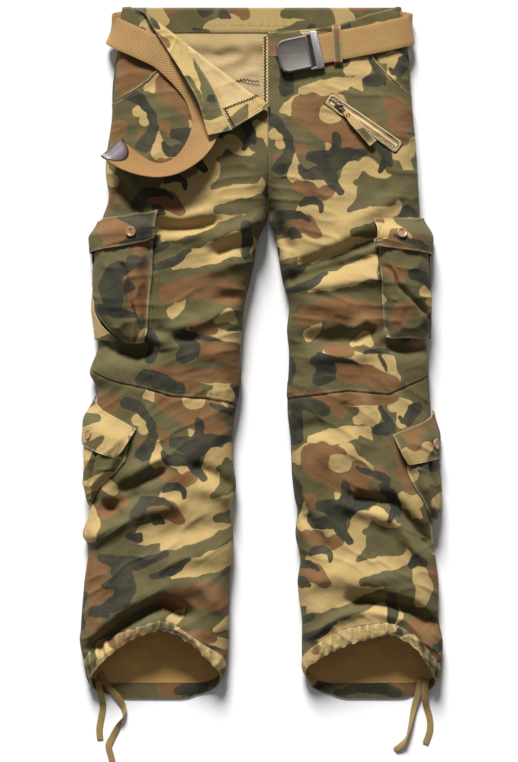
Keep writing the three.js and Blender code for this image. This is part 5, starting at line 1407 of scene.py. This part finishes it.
def make_button(name, at, normal, nodes):
    """A button: rings of its profile round its middle, with a dimple for each of its two holes."""
    count = 36
    turn = Vector(normal).to_track_quat("Z", "Y").to_matrix()
    points = []
    for r, h in BUTTON_PROFILE:
        for k in range(count):
            a = 2 * math.pi * k / count
            hole = 0
            if 1.0 < r < 5.0:
                hole = 0.9 * max(0, math.cos(2 * a)) ** 12 * math.exp(-(((r - 2.4) / 0.9) ** 2))
            points.append(tuple(Vector(at) + turn @ Vector((r * math.cos(a), r * math.sin(a), h - hole))))
    faces = tube_faces(len(BUTTON_PROFILE), count, way=1)
    obj = new_object(name, points, faces, ["button"], sharp=40)
    place_piece(obj, nodes)


def make_pocket(pocket):
    leg, name = pocket["leg"], pocket["name"]
    u, v = even_grid(44, 56)
    outer, inner = pocket_face(pocket, u, v, POCKET_WALL), pocket_face(pocket, u, v, 0.0)
    fields = printed(outer, pocket["home"], wear=0.8 * edge_wear((1 - u) * 60 - 1, v * 100 - 100, u * 50))
    cloth_piece(name + "_bellows", outer, inner, [name], fields, LINED)
    if name.startswith("cargo"):
        u, v = even_grid(20, 56)
        outer, inner = gusset_face(pocket, u, v, POCKET_WALL), gusset_face(pocket, u, v, 0.0)
        cloth_piece(name + "_gusset", outer, inner, (), printed(outer, GUSSET_HOME[leg.side]), LINED)
    u, v = even_grid(44, 30)
    outer = flap_face(pocket, u, v, POCKET_WALL + 0.3 * smooth((1 - v) * 8))
    inner = flap_face(pocket, u, v, 0.0)
    wear = edge_wear((1 - v) * 45 - 0.5, (1 - u) * 80 - 0.5, v * 45)
    fields = printed(outer, pocket["flap_home"], wear=wear)
    cloth_piece(name + "_flap_cloth", outer, inner, [name + "_flap"], fields, LINED)

    def on_flap(a, b):
        return flap_face(pocket, np.array(a), np.array(b), POCKET_WALL)

    share, down, seat = pocket["button"]
    over = on_flap(share + 0.06, down) - on_flap(share - 0.06, down)
    fall = on_flap(share, down + 0.1) - on_flap(share, down - 0.1)
    normal = unit(np.cross(fall, over)) * leg.inward
    middle = on_flap(share, down) + normal * (seat + 0.3)
    make_button(name + "_button_disc", middle, normal, [name + "_button"])


for pocket in POCKETS:
    make_pocket(pocket)

# The slanted zip pocket
ZIP = {"x": 144, "y": 323, "slope": math.radians(35), "length": 122, "width": 18, "lip": 3.4}
OPEN_TO = -42  # the zip is open from its upper end to here, where the slider sits
ZIP_ALONG = np.array([math.cos(ZIP["slope"]), -math.sin(ZIP["slope"])])
ZIP_ACROSS = np.array([math.sin(ZIP["slope"]), math.cos(ZIP["slope"])])


def off_zip(run, side, lift):
    run, side = np.broadcast_arrays(np.asarray(run, float), np.asarray(side, float))
    x = ZIP["x"] + ZIP_ALONG[0] * run + ZIP_ACROSS[0] * side
    y = ZIP["y"] + ZIP_ALONG[1] * run + ZIP_ACROSS[1] * side
    return on_front(LEFT, x, y, lift)


def zip_outline(half, deep, corner, small, count=60):
    """Places round an outline with cut corners: how far along the zip each is, and how far to its side."""
    straight = np.linspace(corner - half, half - corner, count)
    end, side = [half - 1, half, half, half - 1], [deep - small, deep - corner, corner - deep, small - deep]
    run = np.concatenate([straight, end, -straight, -np.array(end)])
    return run, np.concatenate([np.full(count, deep), side, np.full(count, -deep), -np.array(side)])


def make_zip():
    half, deep = ZIP["length"] / 2, ZIP["width"] / 2
    ring = zip_outline(half, deep, 4, 1.2)
    index, v = grid_of(np.arange(len(ring[0])), np.linspace(0, 1, 6))
    run, side = (places[index] for places in ring)
    inset = v * ZIP["lip"]
    run = run - np.sign(run) * np.where(np.abs(run) > half - 5, inset, 0)
    side = side - np.sign(side) * inset * np.where(np.abs(side) > deep - 1.3, 1, 0.4)
    outer, inner = off_zip(run, side, 2.2 + 0.8 * np.sin(math.pi * v)), off_zip(run, side, 1.0 + 0 * v)
    cloth_piece("zip_welt_cloth", outer, inner, ["zip_welt"], None, ["reverse"], loop=True)
    u, v = grid_of(np.linspace(-1, 1, 60), np.linspace(-1, 1, 13))
    run, side = u * (half - 4.2), v * (deep - 1)
    outer, inner = off_zip(run, side, 1.3 + 0.25 * np.cos(v * 9)), off_zip(run, side, 0.3 + 0 * u)
    # Painted shade: a dark band down the tape's middle where the zip stands open, for the shade of the gap
    opening_shade = smooth((OPEN_TO - run) / 3) * smooth(2 - np.abs(side))
    cloth_piece("zip_tape_cloth", outer, inner, ["zip_tape"], {"deep": opening_shade}, ["zip_tape"])


make_zip()


# Small blocks that stand off a surface, such as teeth and stitches
BEAD_FACES = np.array([(0, 1, 4), (1, 2, 4), (2, 3, 4), (3, 0, 4),
                       (1, 0, 5), (2, 1, 5), (3, 2, 5), (0, 3, 5)])


def beads(name, centres, ahead, up, length, width, height, material, body="trousers"):
    """A diamond of eight faces at each centre, along ahead and standing along up."""
    centres, ahead, up = (np.asarray(a, float).reshape(-1, 3) for a in (centres, ahead, up))
    ahead, up = unit(ahead), unit(up)
    side = unit(np.cross(up, ahead))
    offsets = (-ahead * length / 2, side * width / 2, ahead * length / 2, -side * width / 2, up * height,
               -up * height * 0.6)
    corners = np.stack([centres + offset for offset in offsets], axis=1)
    faces = (np.arange(len(centres))[:, None, None] * 6 + BEAD_FACES).reshape(-1, 3)
    place_piece(new_object(name, corners.reshape(-1, 3), faces, [material], sharp=80), (), body)


def make_teeth():
    half = ZIP["length"] / 2 - 6
    run = np.arange(-half, half, 2.7)
    side = np.where(run < OPEN_TO, 2.6, -1.4)
    at = off_zip(run, side, 1.9)
    across = off_zip(run, side + 1, 1.9) - at
    along = off_zip(run + 1, side, 1.9) - at
    slant, up = across + 0.55 * along, np.cross(along, across)
    beads("zip_teeth", at, slant, up, 6.4, 2.3, 1.0, "zip_teeth")


make_teeth()

# The zip's slider, and its pull, which swings on the slider's bridge
PULL_AT = np.array([109.585, 347.775, 48.906])
PULL_AXES = np.array([(0.65847, -0.74706, 0.09120), (0.75259, 0.65422, -0.07482),
                      (-0.00377, 0.11791, 0.99302)])
PULL = {"strap_from": 12, "strap": 60, "width": 12, "sag": 2.2}
SLIDER_DROP = 3.8  # the slider's underside is this far under the hinge


def on_pull(points):
    return PULL_AT + np.asarray(points, float) @ PULL_AXES


def on_slider(points):
    up = PULL_AXES[2]
    ahead = np.array([ZIP_ALONG[0], ZIP_ALONG[1], 0])
    ahead = unit(ahead - up * (ahead @ up))
    axes = np.array([ahead, np.cross(up, ahead), up])
    return PULL_AT - up * SLIDER_DROP + np.asarray(points, float) @ axes


def rod(name, centres, flat, width, thick, material, place, closed=False):
    """A bar of eight-sided section along a line of points, wide along flat and thick across it."""
    centres, flat = np.asarray(centres, float), np.broadcast_to(np.asarray(flat, float), np.shape(centres))
    if closed:
        ahead = unit(np.roll(centres, -1, 0) - np.roll(centres, 1, 0))
    else:
        ahead = unit(np.gradient(centres, axis=0))
    across = unit(np.cross(ahead, flat))
    corners = [(1, 0.5), (0.5, 1), (-0.5, 1), (-1, 0.5), (-1, -0.5), (-0.5, -1), (0.5, -1), (1, -0.5)]
    rings = np.stack([centres + flat * (a * width / 2) + across * (b * thick / 2) for a, b in corners], 1)
    faces = tube_faces(len(centres), len(corners), closed)
    return new_object(name, place(rings.reshape(-1, 3)), faces, [material], sharp=50)


# The slider: its plan, its rings as inset and height, and the arch of its bridge as run and height
SLIDER_PLAN = np.array([(-6.2, -3.2), (-5.6, -4.1), (-4.6, -4.4), (0, -4.4), (3.4, -3.4), (5.6, -2.6),
                        (6.2, -1.8), (6.2, 1.8), (5.6, 2.6), (3.4, 3.4), (0, 4.4), (-4.6, 4.4), (-5.6, 4.1),
                        (-6.2, 3.2)])
SLIDER_RINGS = [(0.5, 0), (0, 0.5), (0, 1.0), (0.7, 1.3), (0, 1.6), (0, 2.1), (0.5, 2.6), (1.6, 2.8)]
BRIDGE = np.array([(-3.7, 2.3), (-3.7, 4.2), (-3.2, 5.1), (-2.3, 5.5), (2.3, 5.5), (3.2, 5.1), (3.7, 4.2),
                   (3.7, 2.3)])


def make_slider():
    body = plate("zip_slider_body", SLIDER_PLAN, SLIDER_RINGS, (0, 0, 0), "zip_metal", on_slider)
    place_piece(body, ["zip_slider"])
    path = np.insert(BRIDGE, 1, 0, axis=1)
    place_piece(rod("zip_slider_bridge", path, (0, 1, 0), 2.6, 1.0, "zip_metal", on_slider))


def strap_face(u, v, lift):
    wide = mix(0.6, 1, smooth(u * 3)) * PULL["width"] / 2
    sag = PULL["sag"] * np.sin(math.pi * u) + 0.35 * np.sin(u * 9 + v * 2) * u
    return on_pull(np.stack([PULL["strap_from"] + u * PULL["strap"], v * wide, sag + lift], -1))


def pull_ring(name, middle, size, height, step, width, thick, nodes=()):
    """A ring of metal on the pull: its middle along it, its half length and half width, and its height."""
    turn = np.radians(np.arange(0, 360, step))
    loop = np.column_stack([middle + size[0] * np.cos(turn), size[1] * np.sin(turn), height + 0 * turn])
    obj = rod(name, loop, (0, 0, 1), width, thick, "zip_metal", on_pull, closed=True)
    place_piece(obj, nodes, "zip_pull")


def make_pull():
    pull_ring("zip_pull_ring", 2.65, (2.65, 3.3), 0, 15, 1.2, 1.2, ["zip_pull_link"])
    outline, rings = rounded_outline(6.4, 4.6, 1.2, 0.8, 4), [(0.3, -0.6), (0, -0.3), (0, 0.3), (0.4, 0.7)]
    tongue = plate("zip_pull_tongue", outline, rings, (8.6, 0, 0), "zip_metal", on_pull)
    place_piece(tongue, (), "zip_pull")
    u, v = grid_of(np.linspace(0, 1, 40), np.linspace(-1, 1, 13))
    half = 0.45 + 0.45 * smooth((1 - np.abs(v)) * 5)
    outer, inner = strap_face(u, v, half), strap_face(u, v, -half)
    wear = edge_wear((1 - np.abs(v)) * 5, (1 - u) * 16)
    fields = dict(camouflage(v * 5.5 + 30, -176 + u * 56, (0, 0)), wear=wear)
    cloth_piece("zip_pull_cloth", outer, inner, ["zip_pull_strap"], fields, body="zip_pull")
    pull_ring("zip_pull_eyelet", 19, (2.3, 2.3), 2.0, 20, 1.0, 1.3)


make_slider()
make_pull()


# Stitches: rows of them along lines on the surfaces above
def stitch_row(surface, a, b, pitch=3.3, lift=0.25):
    """Middles, directions and ups of the stitches along a line of places on a surface."""
    a, b = (np.array(k, float) for k in np.broadcast_arrays(a, b))
    low, high = surface(a, b, lift + 0 * a), surface(a, b, lift + 1 + 0 * a)
    run = run_along(low)
    at = np.arange(pitch / 2, run[-1], pitch)

    def along(points, s):
        return np.stack([np.interp(s, run, points[:, k]) for k in range(3)], -1)

    centre = along(low, at)
    return centre, along(low, at + 0.5) - along(low, at - 0.5), along(high, at) - centre


def zigzag_row(surface, a, b, width, pitch=1.7, lift=0.25):
    """Short threads laid across a line in turn, as a bar-tack or an overlocked edge has them."""
    centre, ahead, up = stitch_row(surface, a, b, pitch, lift)
    ahead, up = unit(ahead), unit(up)
    side = np.cross(up, ahead)
    slant = np.where(np.arange(len(centre)) % 2, 1, -1)[:, None]
    return centre, side + slant * ahead * pitch / width, up


def stitches(name, found, length=2.5, width=0.75, height=0.35, material="thread",
             body="trousers"):
    centre, ahead, up = (np.concatenate(parts) for parts in zip(*found))
    beads(name, centre, ahead, up, length, width, height, material, body)


def underside(surface):
    """The same surface with its lifts turned round, for the side that faces down."""
    return lambda a, b, lift: surface(a, b, -lift)


def mouth_line(leg, off, trim):
    """A pocket mouth's line, moved sideways into the front and trimmed at its ends."""
    points = np.array(POCKET_MOUTH[leg.side], float)
    run = run_along(points)
    at = np.linspace(trim[0], run[-1] - trim[1], 120)
    x, y = (np.interp(at, run, points[:, k]) for k in (0, 1))
    dx, dy = np.gradient(x), np.gradient(y)
    size = np.hypot(dx, dy)
    return x + leg.inward * off * np.abs(dy) / size, y - off * np.abs(dx) / size


def make_mouth_edges():
    for leg in LEGS:
        x, y = mouth_line(leg, 0.4, (4, 42))
        line = on_front(leg, x, y, 0.9)
        edge = rod(f"mouth_edge_{leg.side}", line, (0, 0, 1), 1.3, 1.6, "worn_edge", np.asarray)
        place_piece(edge)


make_mouth_edges()


def stitch_fronts():
    found, dark = [], []
    across = np.linspace(0.02, 0.98, 240)
    for leg in LEGS:
        face, place = partial(front, leg), partial(on_front, leg)
        knee = leg.edges["knee"](across)
        found += [stitch_row(face, across, knee + above) for above in (2.6, 8.5, 26)]
        found += [stitch_row(place, *mouth_line(leg, off, (4, 44))) for off in (2.2, 7.5)]
        for low, high in ((-436, -250), (206, 340)):
            y = np.linspace(high, low, 160)
            found += [stitch_row(face, side / leg.width(y), y) for side in (19.5, 25)]
        y = np.linspace(176, 14, 90)
        x = np.interp(y, [14, 176], [-150, -152] if leg is RIGHT else [172, 168])
        found += [stitch_row(place, x + off, y) for off in (-3.6, 3.6)]
        y = np.linspace(CROTCH_Y - 12, -430, 400)
        dark.append(stitch_row(face, 1 - 5 / leg.width(y), y))
    y = np.linspace(412, 186, 150)
    found += [stitch_row(partial(on_front, LEFT), CENTRE_X + off + 0 * y, y) for off in (3.2, 8.6)]
    x, y = np.linspace(CENTRE_X + 1, 22, 14), np.linspace(242, 238, 14)
    dark.append(zigzag_row(lambda a, b, lift: on_front(LEFT, np.maximum(a, CENTRE_X + 1), b, lift), x, y, 4))
    stitches("front_stitches", found)
    stitches("front_dark_stitches", dark, material="dark_thread")


def stitch_bands():
    found = []
    left = np.linspace(EDGE, 1 - EDGE, 240)
    right = 1 + np.linspace(-181, 35, 200) - RIGHT_SIDE_X
    back_u = np.linspace(-1.98, 1.98, 500)
    for v in (0.07, 0.93):
        found.append(stitch_row(left_band_face, left, v, lift=BAND_PROUD + 0.7))
        found.append(stitch_row(right_band_face, right, v, lift=BAND_PROUD + 0.7))
        found.append(stitch_row(underside(right_band_face), right, v, lift=BAND - BAND_PROUD + 0.2))
    for v in (0.1, 0.72, 0.94):
        found.append(stitch_row(underside(back_band_face), back_u, v, lift=BAND + 0.5))
    stitches("band_stitches", found)


def stitch_casings():
    found = []
    across = np.linspace(0.02, 0.98, 260)
    for leg in LEGS:
        top, bottom = leg.edges["casing"](across), leg.edges["hem"](across)
        for down, lift in ((0.1, 1.6), (0.86, 1.9)):
            found.append(stitch_row(partial(front, leg), across, mix(top, bottom, down), lift=lift))
        y = leg.edges["back_hem"](across) + 17
        found.append(stitch_row(underside(partial(back, leg)), across, y, lift=3.3))
    stitches("casing_stitches", found)


def stitch_pockets():
    found, dark = [], []
    line = np.linspace(0.04, 0.96, 60)
    for pocket in POCKETS:
        def flap(a, b, lift):
            return flap_face(pocket, a, b, POCKET_WALL + lift)

        def body(a, b, lift):
            return pocket_face(pocket, a, b, POCKET_WALL + lift)

        found += [stitch_row(flap, line, v) for v in (0.06, 0.15, 0.86, 0.95)]
        found += [stitch_row(flap, u, line) for u in (0.05, 0.95)]
        found += [stitch_row(body, 0.93, line), stitch_row(body, line, 0.96)]
        dark += [zigzag_row(flap, end, np.linspace(0.03, 0.13, 8), 3) for end in (0.03, 0.97)]
        dark.append(zigzag_row(body, 0.985, np.linspace(0.94, 0.99, 8), 3))
    stitches("pocket_stitches", found)
    stitches("pocket_bar_tacks", dark, 3.0, 0.9, 0.4, "dark_thread")


def stitch_fly():
    def inside_back(a, b, lift):
        return np.stack([a, b, 4.4 + lift], -1)

    def facing(a, b, lift):
        return turned_down(*facing_place(a, b), -CLOTH - 2.1 - lift)

    def corner(a, b, lift):
        return turned_down(*as_cut(a, turn_depth(a) - b), -CLOTH - lift)

    y = np.linspace(447, 354, 120)
    x = np.linspace(-48, -3, 60)
    along = np.linspace(0.02, 0.98, 60)
    dark = [zigzag_row(shield_place, 5.2 + 0 * y, y, 5, 2.3, 0.5),
            zigzag_row(inside_back, x, 385.5 + 1.2 * np.sin(x / 5), 4, 2.4),
            zigzag_row(facing, along, 0.95, 4, 2.2, 0.6),
            zigzag_row(facing, 0.95, along, 4, 2.2, 0.6)]
    stitches("overlock_stitches", dark, 6.4, 1.7, 0.7, "dark_thread")
    found = [stitch_row(facing, along, b) for b in (0.1, 0.3)]
    found += [stitch_row(corner, np.linspace(-88, 12, 80), off) for off in (3.0, 8.0)]
    stitches("fly_stitches", found)


def stitch_zip():
    def ring(grow, pitch, lift):
        """A closed row of stitches round the zip, further out than its middle line by grow."""
        run, side = zip_outline(ZIP["length"] / 2 - 1.5 + grow, ZIP["width"] / 2 - 1.5 + grow, 3, 0.7)
        return stitch_row(off_zip, np.append(run, run[0]), np.append(side, side[0]), pitch, lift)

    outlines = [ring(2.3, 2.3, 0.6), ring(-2.2, 2.3, 2.9)]
    stitches("zip_outline_stitches", outlines, 3.0, 1.3, 0.7, "dark_thread")
    stitches("zip_welt_stitches", [ring(-0.2, 2.4, 3.2)], 1.9, 0.7, 0.35)
    line = np.linspace(0.05, 0.97, 60)
    stitches("zip_pull_stitches", [stitch_row(strap_face, line, side, 2.6, 0.95) for side in (-0.72, 0.72)],
             1.9, 0.6, 0.25, body="zip_pull")


def stitch_leather():
    side = np.linspace(-0.86, 0.86, 60)
    reach = np.sqrt(1 - (TIP_WIDTH * side / 0.9) ** 2 * 0.98)
    round_end = mix(BELT_END, TIP_START, np.clip(reach, 0, 1)) + 0.006
    found = [stitch_row(belt_point, round_end, side, 2.6, 2.5),
             stitch_row(belt_point, 0 * side + 0.994, side, 2.6, 2.3)]
    stitches("leather_stitches", found, 1.9, 0.8, 0.4, "leather_thread")


stitch_fronts()
stitch_bands()
stitch_casings()
stitch_pockets()
stitch_fly()
stitch_zip()
stitch_leather()

# The floor, and light from all round with more of it from the waist's end
FLOOR_REACH, FLOOR_Z = 4, -0.0005  # in metres
floor_mesh = bpy.data.meshes.new("floor")
corners = [(x * FLOOR_REACH, y * FLOOR_REACH, FLOOR_Z) for x, y in ((-1, -1), (1, -1), (1, 1), (-1, 1))]
floor_mesh.from_pydata(corners, [], [(0, 1, 2, 3)])
floor_mesh.materials.append(MATERIALS["floor"])
floor = bpy.data.objects.new("floor", floor_mesh)
bpy.context.collection.objects.link(floor)


def soft_light(name, place, angle, strength):
    data = bpy.data.lights.new(name, "SUN")
    data.angle, data.energy = angle, strength
    light = bpy.data.objects.new(name, data)
    light.location = place
    light.rotation_euler = (Vector((0, 0, 0)) - Vector(place)).to_track_quat("-Z", "Y").to_euler()
    bpy.context.collection.objects.link(light)


soft_light("key", (-0.3, 2.0, 1.25), 0.3, 5.6)
world = bpy.data.worlds.new("studio")
world.use_nodes = True
world.node_tree.nodes["Background"].inputs["Color"].default_value = (1.0, 1.0, 1.0, 1.0)
world.node_tree.nodes["Background"].inputs["Strength"].default_value = 0.17
bpy.context.scene.world = world
